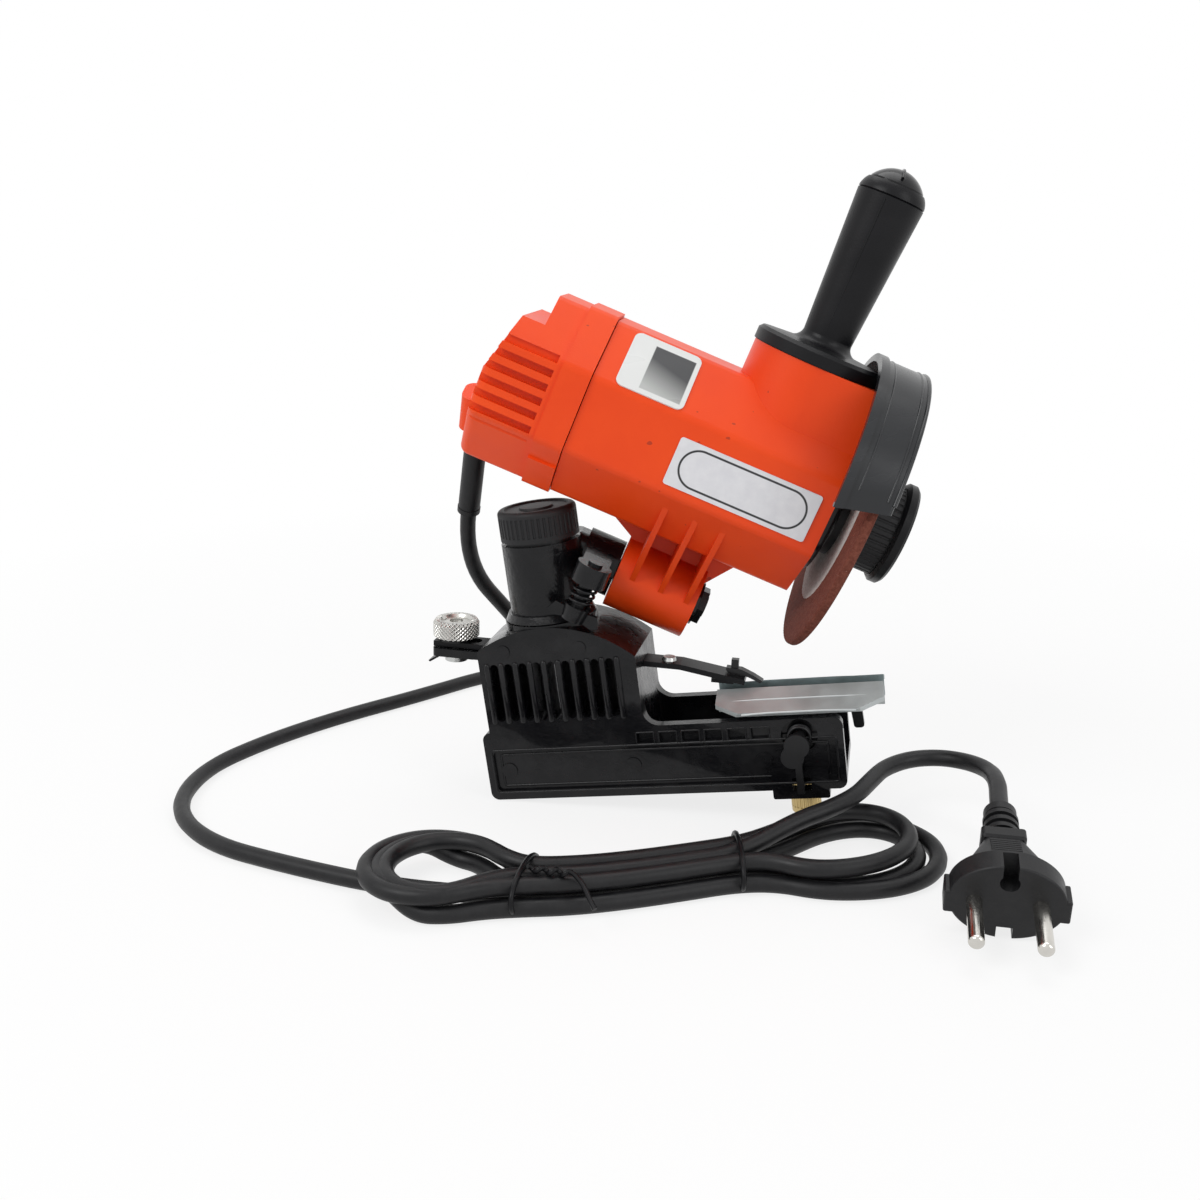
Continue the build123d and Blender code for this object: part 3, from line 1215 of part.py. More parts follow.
with BuildPart() as plug_pins:
    with BuildSketch(Plane.XY.offset(PLUG_LEN - PIN_HOLD)):
        with GridLocations(PIN_PITCH, 1, 2, 1):
            Circle(PIN_ROOT_R)
    extrude(amount=PIN_HOLD)
    with BuildSketch(Plane.XY.offset(PLUG_LEN)):
        with GridLocations(PIN_PITCH, 1, 2, 1):
            Circle(PIN_D / 2)
    extrude(amount=PIN_LEN)
    fillet(edges().group_by(Axis.Z)[-1], 1.4)
write(plug_pins, "plug_pins", plug_home)
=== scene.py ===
"""Looks of a bench chain grinder: finishes on the CAD pieces, its cord, and the small modelled details.

Lengths are written in millimetres and turned to metres by MM.  Three frames of the tool are taken from
the joints: TOOL (post axis, along the bar), HEAD (along the spindle) and STOP (along the stop bar).
"""
import json
import math

import bpy
from mathutils import Matrix, Vector


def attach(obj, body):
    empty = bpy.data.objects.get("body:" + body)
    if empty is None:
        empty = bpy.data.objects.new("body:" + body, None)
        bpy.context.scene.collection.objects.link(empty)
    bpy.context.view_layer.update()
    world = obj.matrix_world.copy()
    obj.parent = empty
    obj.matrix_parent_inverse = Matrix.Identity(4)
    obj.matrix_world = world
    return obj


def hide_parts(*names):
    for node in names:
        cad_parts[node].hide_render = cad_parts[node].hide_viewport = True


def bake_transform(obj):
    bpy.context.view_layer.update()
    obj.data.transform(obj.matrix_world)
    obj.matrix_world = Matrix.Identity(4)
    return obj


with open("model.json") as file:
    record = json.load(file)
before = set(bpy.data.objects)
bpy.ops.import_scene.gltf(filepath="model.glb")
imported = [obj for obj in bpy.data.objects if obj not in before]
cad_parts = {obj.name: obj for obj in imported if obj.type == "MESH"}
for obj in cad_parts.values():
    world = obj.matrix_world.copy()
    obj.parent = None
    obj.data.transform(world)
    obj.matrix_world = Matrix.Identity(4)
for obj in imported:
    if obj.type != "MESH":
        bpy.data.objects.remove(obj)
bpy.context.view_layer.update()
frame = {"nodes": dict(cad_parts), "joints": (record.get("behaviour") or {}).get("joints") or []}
MM = 0.001
joints = {joint["name"]: joint for joint in frame["joints"]}


# ======================================================================================
# Frames of the tool
# ======================================================================================
def frame_at(origin, x_way, z_way):
    """Matrix of a frame in metres from its origin and its X and Z directions."""
    x, z = Vector(x_way).normalized(), Vector(z_way).normalized()
    turn = Matrix((x, z.cross(x), z)).transposed().to_4x4()
    return Matrix.Translation(origin) @ turn


def joint_pos(name):
    return Vector(joints[name]["pos_m"])


post_way = Vector(joints["arm_swivel"]["axis"])
TOOL = frame_at(joint_pos("arm_swivel"), Vector((0, 1, 0)).cross(post_way), post_way)
HEAD = frame_at(joint_pos("spindle_spin"), joints["spindle_spin"]["axis"], joints["depth_turn"]["axis"])
STOP = frame_at(joint_pos("nut_turn"), joints["stop_slide"]["axis"], joints["nut_turn"]["axis"])


def spot(stand, x, y, z):
    """Point of a frame, given in millimetres, as a place in metres."""
    return stand @ (Vector((x, y, z)) * MM)


# ======================================================================================
# Camera
# ======================================================================================
CAMERA_AT = Vector((75.1, -455.3, 205.1)) * MM
CAMERA_TURN = math.radians(12.5)               # round the tool, to its right
CAMERA_DOWN = math.radians(16.0)


def set_camera():
    data = bpy.data.cameras.new("camera")
    data.lens = 39.0
    data.sensor_width = 36.0
    data.clip_start = 0.01
    camera = bpy.data.objects.new("camera", data)
    bpy.context.scene.collection.objects.link(camera)
    camera.location = CAMERA_AT
    way = Vector((-math.sin(CAMERA_TURN) * math.cos(CAMERA_DOWN),
                  math.cos(CAMERA_TURN) * math.cos(CAMERA_DOWN), -math.sin(CAMERA_DOWN)))
    camera.rotation_euler = way.to_track_quat("-Z", "Y").to_euler()
    bpy.context.scene.camera = camera


set_camera()


# ======================================================================================
# Shader arithmetic
# ======================================================================================
class Wire:
    """A socket that takes part in Python sums: each operator adds a Math node."""

    def __init__(self, nodes, socket):
        self.nodes = nodes
        self.socket = socket

    def _sum(self, operation, first, second):
        return self.nodes.node("ShaderNodeMath", {"operation": operation}, {0: first, 1: second})

    def __add__(self, other):
        return self._sum("ADD", self, other)

    def __radd__(self, other):
        return self._sum("ADD", other, self)

    def __sub__(self, other):
        return self._sum("SUBTRACT", self, other)

    def __rsub__(self, other):
        return self._sum("SUBTRACT", other, self)

    def __mul__(self, other):
        return self._sum("MULTIPLY", self, other)

    def __rmul__(self, other):
        return self._sum("MULTIPLY", other, self)

    def __abs__(self):
        return self._sum("ABSOLUTE", self, 0.0)

    def root(self):
        return self._sum("SQRT", self, 0.0)

    def wave(self):
        return self._sum("SINE", self, 0.0)

    def turn_to(self, other):
        """Angle of the point whose height is this value and whose width is the other."""
        return self._sum("ARCTAN2", self, other)

    def above(self, limit):
        return self._sum("GREATER_THAN", self, limit)

    def below(self, limit):
        return self._sum("LESS_THAN", self, limit)

    def most(self, other):
        return self._sum("MAXIMUM", self, other)


class Nodes:
    """Adds nodes to one node tree."""

    def __init__(self, tree):
        self.tree = tree

    def feed(self, socket, value):
        """Set a socket, or link a wire to it."""
        if isinstance(value, Wire):
            self.tree.links.new(value.socket, socket)
        else:
            socket.default_value = value

    def node(self, kind, settings=None, feeds=None, out=0):
        """Add a node: its settings first, then the values or links of its sockets."""
        made = self.tree.nodes.new(kind)
        for key, value in (settings or {}).items():
            setattr(made, key, value)
        for key, value in (feeds or {}).items():
            self.feed(made.inputs[key], value)
        return Wire(self, made.outputs[out])

    def spread(self, value, low, high, to_low=0.0, to_high=1.0):
        """Stretch a value's band from low..high to to_low..to_high, held at both ends."""
        feeds = {"Value": value, "From Min": low, "From Max": high, "To Min": to_low, "To Max": to_high}
        return self.node("ShaderNodeMapRange", {}, feeds)


class Finish(Nodes):
    """One material: a Principled surface whose inputs are set or fed by small patterns."""

    def __init__(self, name, color, roughness, metallic=0.0, coat=0.0, coat_roughness=0.1, specular=0.5):
        self.material = bpy.data.materials.new(name)
        self.material.use_nodes = True
        super().__init__(self.material.node_tree)
        self.surface = self.tree.nodes["Principled BSDF"]
        self.put("Base Color", (*color, 1.0))
        self.put("Roughness", roughness)
        self.put("Metallic", metallic)
        self.put("Coat Weight", coat)
        self.put("Coat Roughness", coat_roughness)
        self.put("Specular IOR Level", specular)
        self.place = self.node("ShaderNodeTexCoord", out="Object")

    def put(self, name, value):
        """Set an input of the surface, or feed it with a pattern."""
        self.feed(self.surface.inputs[name], value)

    def stretched(self, scale):
        """Place with each direction scaled on its own."""
        return self.node("ShaderNodeMapping", {}, {"Vector": self.place, "Scale": scale})

    def within(self, stand):
        """Place in one of the tool's frames, in millimetres, as three values."""
        turn = stand.to_3x3().transposed()
        shift = turn @ stand.to_translation() / -MM
        feeds = {"Vector": self.place, "Location": shift, "Rotation": turn.to_euler(), "Scale": (1 / MM,) * 3}
        moved = self.node("ShaderNodeMapping", {}, feeds)
        split = self.node("ShaderNodeSeparateXYZ", {}, {"Vector": moved})
        return [Wire(self, socket) for socket in split.socket.node.outputs]

    def noise(self, scale, detail=4.0, rough=0.55, where=None):
        feeds = {"Vector": where or self.place, "Scale": scale, "Detail": detail, "Roughness": rough}
        return self.node("ShaderNodeTexNoise", {}, feeds)

    def cells(self, scale):
        return self.node("ShaderNodeTexVoronoi", {}, {"Vector": self.place, "Scale": scale})

    def mix(self, first, second, share):
        """Blend two colours, each a triple or a wire."""
        feeds = {"Factor": share, 6: first if isinstance(first, Wire) else (*first, 1.0),
                 7: second if isinstance(second, Wire) else (*second, 1.0)}
        return self.node("ShaderNodeMix", {"data_type": "RGBA"}, feeds, out=2)

    def bump(self, height, strength, distance):
        feeds = {"Height": height, "Strength": strength, "Distance": distance}
        self.put("Normal", self.node("ShaderNodeBump", {}, feeds))


def dress(mesh, finish):
    """Make a finish the only one of a mesh."""
    mesh.materials.clear()
    mesh.materials.append(finish.material)


def paint(finish, *names):
    """Give CAD nodes a finish, in place of the colour that they were packed with."""
    for name in names:
        dress(frame["nodes"][name].data, finish)


# ======================================================================================
# Finishes
# ======================================================================================
NUT_TOP_R = 6.2                                # the thumb nut's top is flat inside this radius
PAPER_R, PAPER_FRAY = 33.8, 1.6                # edge of the wheel's blotter paper, and how it frays

NAME_X, NAME_Z = -37.0, -1.6                   # middle of the name plate
LOOP_HALF, LOOP_R = 15.8, 6.5                  # its line: half its straight length, radius of its ends
LOOP_CORE, LOOP_EDGE = 0.26, 0.46              # half width of the full line, and where it has faded out

RATING_X = -77.5                               # middle of the rating plate
FIELD_X, FIELD_UP = 3.2, -0.4                  # middle of its field, from there
FIELD_HALF_X, FIELD_HALF_UP = 7.2, 9.4
FIELD_EDGE = 0.15                              # softness of the field's edge


def cast_paint(name, lump, gloss):
    """Black gloss paint over a rough casting, with runs, pits and dusty patches."""
    made = Finish(name, (0.005, 0.005, 0.006), gloss, coat=0.28, coat_roughness=0.05, specular=0.12)
    broad = made.noise(90.0, 3.0)
    fine = made.noise(520.0, 5.0, 0.6)
    pits = made.spread(made.cells(330.0), 0.02, 0.16)
    made.put("Roughness", made.spread(broad, 0.35, 0.7, gloss - 0.06, gloss + 0.12))
    dust = made.spread(broad, 0.45, 0.75)
    made.put("Base Color", made.mix((0.004, 0.004, 0.005), (0.012, 0.012, 0.013), dust))
    made.bump(broad * 0.9 + fine * 0.35 + pits * 0.12, lump, 0.0016)
    return made


def shell_plastic():
    """Orange-red moulded plastic: fine satin grain, slight mottling and rubbed high spots."""
    made = Finish("orange_shell", (0.80, 0.060, 0.005), 0.42, coat=0.04, coat_roughness=0.3, specular=0.25)
    broad = made.noise(26.0, 3.0)
    grain = made.noise(1500.0, 2.0)
    specks = made.spread(made.noise(310.0, 1.0), 0.77, 0.80)
    clean = made.mix((0.77, 0.052, 0.004), (0.84, 0.070, 0.006), made.spread(broad, 0.3, 0.7))
    made.put("Base Color", made.mix(clean, (0.30, 0.03, 0.012), specks * 0.7))
    made.put("Roughness", made.spread(broad, 0.3, 0.7, 0.36, 0.48))
    made.bump(grain + broad * 0.3, 0.16, 0.0003)
    return made


def plated(name, color, rough, metallic=1.0, wear=0.5):
    """Plated steel: a cloudy passivated skin with fine grain and a few darker spots."""
    made = Finish(name, color, rough, metallic=metallic)
    cloud = made.noise(160.0, 3.0)
    fine = made.noise(2200.0, 2.0)
    spots = made.spread(made.noise(640.0, 3.0), 0.66, 0.80)
    dark = tuple(0.6 * part for part in color)
    clean = made.mix(tuple(0.90 * part for part in color), color, made.spread(cloud, 0.35, 0.65))
    made.put("Base Color", made.mix(clean, dark, spots * wear))
    made.put("Roughness", made.spread(cloud, 0.3, 0.7, rough - 0.05, rough + 0.09))
    made.bump(fine + spots * -0.3, 0.08, 0.0003)
    return made


def knurled(name, color, stand, pitch_turns, pitch_up):
    """Bright steel with a diamond knurl round a frame's Z axis."""
    made = plated(name, color, 0.24, wear=0.3)
    x, y, z = made.within(stand)
    around = y.turn_to(x) * pitch_turns
    ridge = (around + z * pitch_up).wave().most((around - z * pitch_up).wave())
    side = (x * x + y * y).root().above(NUT_TOP_R)
    made.bump(ridge * side, 0.8, 0.0004)
    return made


def moulded(name, color, rough, grain=1400.0, depth=0.14, specular=0.28):
    """Moulded black or grey plastic with flow marks and a light satin grain."""
    made = Finish(name, color, rough, coat=0.04, coat_roughness=0.25, specular=specular)
    flow = made.noise(1.0, 3.0, 0.5, made.stretched((30.0, 30.0, 90.0)))
    fine = made.noise(grain, 2.0)
    light = tuple(1.25 * part + 0.001 for part in color)
    made.put("Base Color", made.mix(color, light, made.spread(flow, 0.4, 0.75)))
    made.put("Roughness", made.spread(flow, 0.3, 0.7, rough - 0.05, rough + 0.09))
    made.bump(fine + flow * 0.4, depth, 0.0003)
    return made


def abrasive():
    """Bonded red-brown abrasive with sharp grit, and the pale blotter paper round its hub."""
    made = Finish("abrasive", (0.17, 0.05, 0.033), 0.85, specular=0.2)
    grit = made.cells(2300.0)
    soft = made.noise(700.0, 4.0, 0.7)
    base = made.mix((0.105, 0.028, 0.018), (0.21, 0.066, 0.044), made.spread(soft, 0.3, 0.7))
    bonded = made.mix(base, (0.36, 0.20, 0.16), made.spread(made.noise(1700.0, 2.0), 0.68, 0.76))
    fibres = made.spread(made.noise(900.0, 5.0, 0.7), 0.35, 0.65)
    paper = made.mix((0.46, 0.42, 0.39), (0.70, 0.68, 0.66), fibres)
    _, y, z = made.within(HEAD)
    papered = ((y * y + z * z).root() + soft * PAPER_FRAY).below(PAPER_R)
    made.put("Base Color", made.mix(bonded, paper, papered))
    made.bump(grit + soft * 0.6, 0.5, 0.0006)
    return made


def outlined_plate():
    """Bare white plate with a black line running round it in a long rounded loop."""
    made = moulded("name_plate_white", (0.70, 0.70, 0.72), 0.34, depth=0.03, specular=0.5)
    x, _, z = made.within(HEAD)
    along = (abs(x - NAME_X) - LOOP_HALF).most(0.0)
    up = z - NAME_Z
    from_line = abs((along * along + up * up).root() - LOOP_R)
    line = made.spread(from_line, LOOP_CORE, LOOP_EDGE, 1.0, 0.0)
    dust = made.spread(made.noise(240.0, 4.0), 0.3, 0.8)
    white = made.mix((0.66, 0.66, 0.69), (0.74, 0.74, 0.76), dust)
    made.put("Base Color", made.mix(white, (0.012, 0.012, 0.014), line))
    return made


def panelled_plate():
    """Bare pale plate with one field that fades from charcoal to silver."""
    made = moulded("rating_plate_pale", (0.68, 0.69, 0.68), 0.30, depth=0.03, specular=0.5)
    x, y, z = made.within(HEAD)
    along = x - RATING_X
    up = (y + z) * math.sqrt(0.5)
    outside = (abs(along - FIELD_X) - FIELD_HALF_X).most(abs(up - FIELD_UP) - FIELD_HALF_UP)
    field = made.spread(outside, -FIELD_EDGE, FIELD_EDGE, 1.0, 0.0)
    fade = made.mix((0.42, 0.43, 0.42), (0.030, 0.031, 0.034), made.spread(up + along * 0.3, -9.0, 3.0))
    made.put("Base Color", made.mix((0.68, 0.69, 0.68), fade, field))
    return made


def cord_sheath():
    """Black flexible sheath with faint lengthwise sheen and dust."""
    made = Finish("cord_sheath", (0.008, 0.008, 0.009), 0.42, specular=0.30)
    dust = made.noise(160.0, 5.0, 0.65)
    fine = made.noise(1300.0, 2.0)
    dusty = made.spread(dust, 0.42, 0.8)
    made.put("Base Color", made.mix((0.006, 0.006, 0.007), (0.014, 0.014, 0.015), dusty))
    made.put("Roughness", made.spread(dust, 0.3, 0.7, 0.36, 0.52))
    made.bump(fine + dust * 0.5, 0.12, 0.0003)
    return made


def copper_wire():
    """Enamelled winding wire, wound across the piece's length."""
    made = Finish("winding_wire", (0.60, 0.22, 0.08), 0.3, metallic=0.9)
    turns = made.node("ShaderNodeTexWave", {"wave_type": "BANDS", "bands_direction": "X"},
                      {"Vector": made.place, "Scale": 320.0, "Distortion": 0.6})
    made.put("Base Color", made.mix((0.34, 0.10, 0.035), (0.72, 0.30, 0.12), turns))
    made.bump(turns, 0.5, 0.0004)
    return made


CAST = cast_paint("cast_black", 0.30, 0.24)
CAST_ARM = cast_paint("cast_black_arm", 0.55, 0.18)
ORANGE = shell_plastic()
ZINC = plated("zinc_plate", (0.62, 0.63, 0.62), 0.30)
ZINC_JAW = plated("zinc_jaw", (0.50, 0.53, 0.53), 0.46, metallic=0.5, wear=0.3)
ZINC_DULL = plated("zinc_plate_teal", (0.30, 0.37, 0.38), 0.40, metallic=0.8)
NICKEL = plated("nickel", (0.66, 0.64, 0.60), 0.18, wear=0.1)
KNURL = knurled("knurled_nut", (0.62, 0.61, 0.58), STOP, 30.0, 4.2)
STEEL = plated("machined_steel", (0.42, 0.42, 0.43), 0.34)
YELLOW_ZINC = plated("yellow_zinc", (0.60, 0.46, 0.22), 0.32)
DARK_STEEL = plated("black_oxide", (0.012, 0.012, 0.013), 0.34, metallic=0.4)
GLOSS_BLACK = moulded("gloss_black_plastic", (0.005, 0.005, 0.006), 0.18, depth=0.05, specular=0.26)
SATIN_BLACK = moulded("satin_black_plastic", (0.005, 0.005, 0.006), 0.34, specular=0.16)
MATT_BLACK = moulded("matt_black_plastic", (0.010, 0.010, 0.011), 0.55, depth=0.3)
GUARD_GREY = moulded("guard_grey", (0.013, 0.014, 0.016), 0.22, depth=0.04, specular=0.36)
ABRASIVE = abrasive()
CORD = cord_sheath()
WINDING = copper_wire()
NAME_PLATE = outlined_plate()
RATING_PLATE = panelled_plate()
CARBON = moulded("carbon", (0.03, 0.03, 0.03), 0.55)

paint(CAST, "base_casting")
paint(CAST_ARM, "arm_casting", "depth_screw", "depth_spring")
paint(ORANGE, "front_housing", "motor_band", "rear_cap")
paint(ZINC, "stop_rivet", "guard_clip", "thumb_screw", "return_spring", "housing_screws")
paint(ZINC_JAW, "near_jaw")
paint(ZINC_DULL, "far_jaw", "guard_bracket")
paint(NICKEL, "plug_pins")
paint(KNURL, "thumb_nut")
paint(STEEL, "post_spindle", "motor_shaft", "rear_bearing", "front_bearing", "stator_core", "rotor_core",
      "vice_block", "vice_bolt", "cooling_fan", "hinge_bushes")
paint(DARK_STEEL, "hinge_bolt", "hinge_nut", "clamp_lever", "inner_flange", "stop_pawl", "post_washer",
      "clamp_spring", "clamp_screw", "clamp_link")
paint(YELLOW_ZINC, "vice_knob")
paint(GLOSS_BLACK, "nose_plate", "hinge_washer", "thumb_washer", "switch_button")
paint(SATIN_BLACK, "handle", "switch_body", "stop_bar", "stop_leaf", "nut_disc")
paint(MATT_BLACK, "post_cap", "wheel_nut")
paint(GUARD_GREY, "guard")
paint(ABRASIVE, "grinding_wheel")
paint(WINDING, "stator_coils", "rotor_windings", "commutator")
paint(CARBON, "carbon_brushes")
paint(NAME_PLATE, "name_plate")
paint(RATING_PLATE, "rating_plate")
paint(CORD, "cord_boot", "plug_body")


# ======================================================================================
# Small helpers for modelled pieces
# ======================================================================================
BAR_ROUNDING = 0.85                            # bevel of a bar's ends, as a share of its radius


def deselect():
    bpy.ops.object.select_all(action="DESELECT")


def settle(piece, finish, body, angle=35.0):
    """Bake a piece's place into its mesh, smooth it up to an angle, finish it and hang it on its body."""
    deselect()
    piece.select_set(True)
    bpy.context.view_layer.objects.active = piece
    bpy.ops.object.transform_apply(location=True, rotation=True, scale=True)
    bpy.ops.object.shade_smooth_by_angle(angle=math.radians(angle))
    dress(piece.data, finish)
    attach(piece, body)


def apply_modifier(piece, kind, **settings):
    modifier = piece.modifiers.new(kind.lower(), kind)
    for key, value in settings.items():
        setattr(modifier, key, value)
    bpy.context.view_layer.objects.active = piece
    bpy.ops.object.modifier_apply(modifier=modifier.name)


def smooth_curve(name, points, steps, closed=False):
    """One smooth line with the points as its control points."""
    curve = bpy.data.curves.new(name, "CURVE")
    curve.dimensions = "3D"
    curve.resolution_u = steps
    curve.use_fill_caps = True
    spline = curve.splines.new("NURBS")
    spline.points.add(len(points) - 1)
    for point, place in zip(spline.points, points):
        point.co = (*place, 1.0)
    spline.order_u = 3
    spline.use_endpoint_u = not closed
    spline.use_cyclic_u = closed
    line = bpy.data.objects.new(name + "_line", curve)
    bpy.context.scene.collection.objects.link(line)
    return line


def mesh_of(line):
    """The mesh that a curve object shows at this moment."""
    bpy.context.view_layer.update()
    graph = bpy.context.evaluated_depsgraph_get()
    return bpy.data.meshes.new_from_object(line.evaluated_get(graph))


def piece_from(name, line, radius, roundness):
    """Put a round section on a curve and keep its mesh as a piece, in place of the curve."""
    line.data.bevel_depth = radius
    line.data.bevel_resolution = roundness
    mesh = mesh_of(line)
    bpy.data.objects.remove(line)
    piece = bpy.data.objects.new(name, mesh)
    bpy.context.scene.collection.objects.link(piece)
    return piece


def tube_along(name, points, radius, closed=False):
    """Thin round wire along a smooth line through places in metres; its radius is in millimetres."""
    return piece_from(name, smooth_curve(name, points, 8, closed), radius * MM, 2)


def joined(name, parts):
    """Join several meshes into one piece."""
    deselect()
    for part in parts:
        part.select_set(True)
    bpy.context.view_layer.objects.active = parts[0]
    bpy.ops.object.join()
    parts[0].name = name
    return parts[0]


def round_bar(stand, center, radius, length):
    """Upright bar with rounded ends, its middle at a place of a frame."""
    deselect()
    bpy.ops.mesh.primitive_cylinder_add(vertices=20, radius=radius * MM, depth=length * MM)
    piece = bpy.context.object
    apply_modifier(piece, "BEVEL", width=radius * BAR_ROUNDING * MM, segments=3, limit_method="ANGLE")
    piece.matrix_world = stand @ Matrix.Translation(Vector(center) * MM)
    return piece


def loop_on_face(stand, center, width, height, corner, wire):
    """Thin bead in a rounded rectangle on an upright face of a frame."""
    cx, y, cz = center
    corners = []
    for sx, sz in ((1, 1), (-1, 1), (-1, -1), (1, -1)):
        x, z = cx + sx * width / 2, cz + sz * height / 2
        along, up = (x - sx * corner, y, z), (x, y, z - sz * corner)
        corners += [up, (x, y, z), along] if sx == sz else [along, (x, y, z), up]
    points = [spot(stand, *point) for point in corners]
    return tube_along("bead", points, wire, closed=True)


# ======================================================================================
# Beads, bars and ridges on the castings, jaws, guard and handle
# ======================================================================================
FACE_Y = 17.0                                  # the casting's side faces
SLOT_MID, SLOT_PITCH, SLOTS = 2.0, 5.36, 9     # upright slots in each side of the post block
BAR_Y, BAR_Z, BAR_R, BAR_LENGTH = FACE_Y - 0.35, 41.3, 1.2, 23.6
BEAD_X, INNER_Z, OUTER_Z, INNER_DEPTH = 37.3, 11.2, 11.1, 1.2   # the two long beads round the base
BOX_X, BOX_PITCH, BOX_Z, BOXES = 33.0, 8.2, 21.8, 6             # row of small boxes over them

bars = []
for side in (-1, 1):
    for n in range(SLOTS + 1):
        x = SLOT_MID + (n - SLOTS / 2) * SLOT_PITCH
        bars.append(round_bar(TOOL, (x, side * BAR_Y, BAR_Z), BAR_R, BAR_LENGTH))
settle(joined("slot_bars", bars), CAST, "base")

beads = []
for side in (-1, 1):
    inner, outer = (BEAD_X, side * (FACE_Y - INNER_DEPTH), INNER_Z), (BEAD_X, side * FACE_Y, OUTER_Z)
    beads.append(loop_on_face(TOOL, inner, 119.4, 12.2, 2.0, 0.45))
    beads.append(loop_on_face(TOOL, outer, 125.6, 16.6, 2.5, 0.40))
    for n in range(BOXES):
        box = (BOX_X + n * BOX_PITCH, side * FACE_Y, BOX_Z)
        beads.append(loop_on_face(TOOL, box, 6.5, 4.5, 0.7, 0.32))
settle(joined("casting_beads", beads), CAST, "base", 60)

FLANGE_ROOT_Y = 2.5                            # where a jaw's flange starts, from the middle plane
FLANGE_FALL = 4.8 / 13.0                       # how steeply it falls outwards
LINE_STEPS = 5
LINE_END_DROP = 0.5                            # a line's ends sink into the flange
JAW_LINES = (                                  # distance out, first and last x, wire's radius, depth
    (6.2, 60.5, 114.5, 0.55, 0.2),
    (12.7, 68.0, 107.5, 0.62, 0.5),
)


def jaw_lines(name, side, top, body, finish):
    """Pressed bead and rolled outer lip along a jaw's sloping flange."""
    lines = []
    for out, first, last, wire, sunk in JAW_LINES:
        y, z = side * (FLANGE_ROOT_Y + out), top - FLANGE_FALL * out - sunk
        points = []
        for n in range(LINE_STEPS + 1):
            drop = LINE_END_DROP if n in (0, LINE_STEPS) else 0.0
            points.append(spot(TOOL, first + (last - first) * n / LINE_STEPS, y, z - drop))
        lines.append(tube_along(name, points, wire))
    settle(joined(name, lines), finish, body, 60)


jaw_lines("near_jaw_beads", -1, 33.7, "moving_jaw", ZINC_JAW)
jaw_lines("far_jaw_beads", 1, 34.5, "base", ZINC_DULL)


RIMS = (                                       # the guard's beads: x, radius, wire's radius, first angle
    (6.6, 53.7, 0.75, 16.5), (4.2, 53.75, 0.45, 17), (-5.6, 53.7, 0.4, 17),
)
RIM_STEPS = 24

rims = []
for x, radius, wire, first in RIMS:
    last = 180 - first
    points = []
    for n in range(RIM_STEPS + 1):
        a = math.radians(first + (last - first) * n / RIM_STEPS)
        points.append(spot(HEAD, x, radius * math.cos(a), radius * math.sin(a)))
    rims.append(tube_along("rim", points, wire))
settle(joined("guard_rims", rims), GUARD_GREY, "head", 60)

GRIP_X = -29.5                                 # the handle's axis
GRIP_LOW_R, GRIP_FLARE = 8.7, 2.9              # grip's radius at the seam's lower end, and how much it gains
SEAM_LOW, SEAM_LENGTH, SEAM_STEPS = 56.0, 44.0, 6
for label, angle in (("near", -104), ("far", 76)):
    a = math.radians(angle)
    seam = []
    for n in range(SEAM_STEPS + 1):
        radius = GRIP_LOW_R + GRIP_FLARE * n / SEAM_STEPS
        height = SEAM_LOW + SEAM_LENGTH * n / SEAM_STEPS
        seam.append(spot(HEAD, GRIP_X + radius * math.cos(a), radius * math.sin(a), height))
    settle(tube_along("grip_seam_" + label, seam, 0.28), SATIN_BLACK, "head", 60)

BUTTON_Z, BUTTON_R, BUTTON_RISE = 105.9, 9.2, 5.2   # the button's dome: its foot, radius and height
ridge = []
for degrees in range(-66, 67, 11):
    a = math.radians(degrees)
    ridge.append(spot(HEAD, GRIP_X, BUTTON_R * math.sin(a), BUTTON_Z + BUTTON_RISE * math.cos(a)))
settle(tube_along("button_ridge", ridge, 0.5), GLOSS_BLACK, "button", 60)


# ======================================================================================
# Cord: boot, lead on the table, tied hank and tail to the plug
# ======================================================================================
CORD_D = 6.0
FLAT = CORD_D / 2                              # height of a strand that lies on the table
OVER = 9.3                                     # height of a strand that crosses over another
LEAD = [                                       # from the boot to the hank
    (-66, 23, 55), (-52, 41, 28), (-41, 67, 5.5), (-43, 95, FLAT), (-67, 113, FLAT), (-98, 101, FLAT),
    (-123, 63, FLAT), (-147, 31, FLAT), (-165, -1, FLAT), (-176, -33, FLAT), (-169, -67, FLAT),
    (-144, -90, FLAT), (-109, -99, FLAT), (-69, -106, FLAT),
]
TAIL = [                                       # from the hank to the plug
    (53, -57, 16.0), (64, -49, 18.0), (72, -39, 19.0), (76.5, -27, 19.6), (81, -15.5, 20.2),
    (90, -7, 21), (101, -5, 21.8), (111, -10, 22.8), (117, -19.5, 24), (118.6, -30.5, 24.6),
    (118.2, -41, 23.6), (118, -51, 22.6),
]
TIE_X = (-28.0, 36.0)                          # the two ties, along the hank
ROWS = {                                       # strands' places where the ties hold them: sideways, height
    "centre_near": (-3.3, FLAT), "centre_far": (3.3, FLAT), "near": (-9.9, FLAT), "far": (9.9, FLAT),
    "top_near": (-6.6, 8.9), "top_far": (6.6, 8.9), "top": (0.0, 8.9),
}
TURNS = (                                      # strand out, right fold, strand back, left fold
    ("centre_near", (94.0, 21.5, FLAT), "centre_far", (-76.0, 18.8, FLAT, OVER)),
    ("near", (101.0, 25.0, FLAT), "far", (-80.0, 20.0, OVER, OVER)),
    ("top_near", (91.0, 22.0, OVER + 0.4), "top_far", (-73.5, 18.6, OVER + 0.4, OVER + 0.4)),
)
NECK = ((0.33, 0.26), (0.67, 0.84))            # how far a fold has opened, along its way out from the tie
STRAND_STEPS = 4
ARC_POINTS, ARC_TURN = 7, 30                   # points round a fold's end, and degrees from one to the next
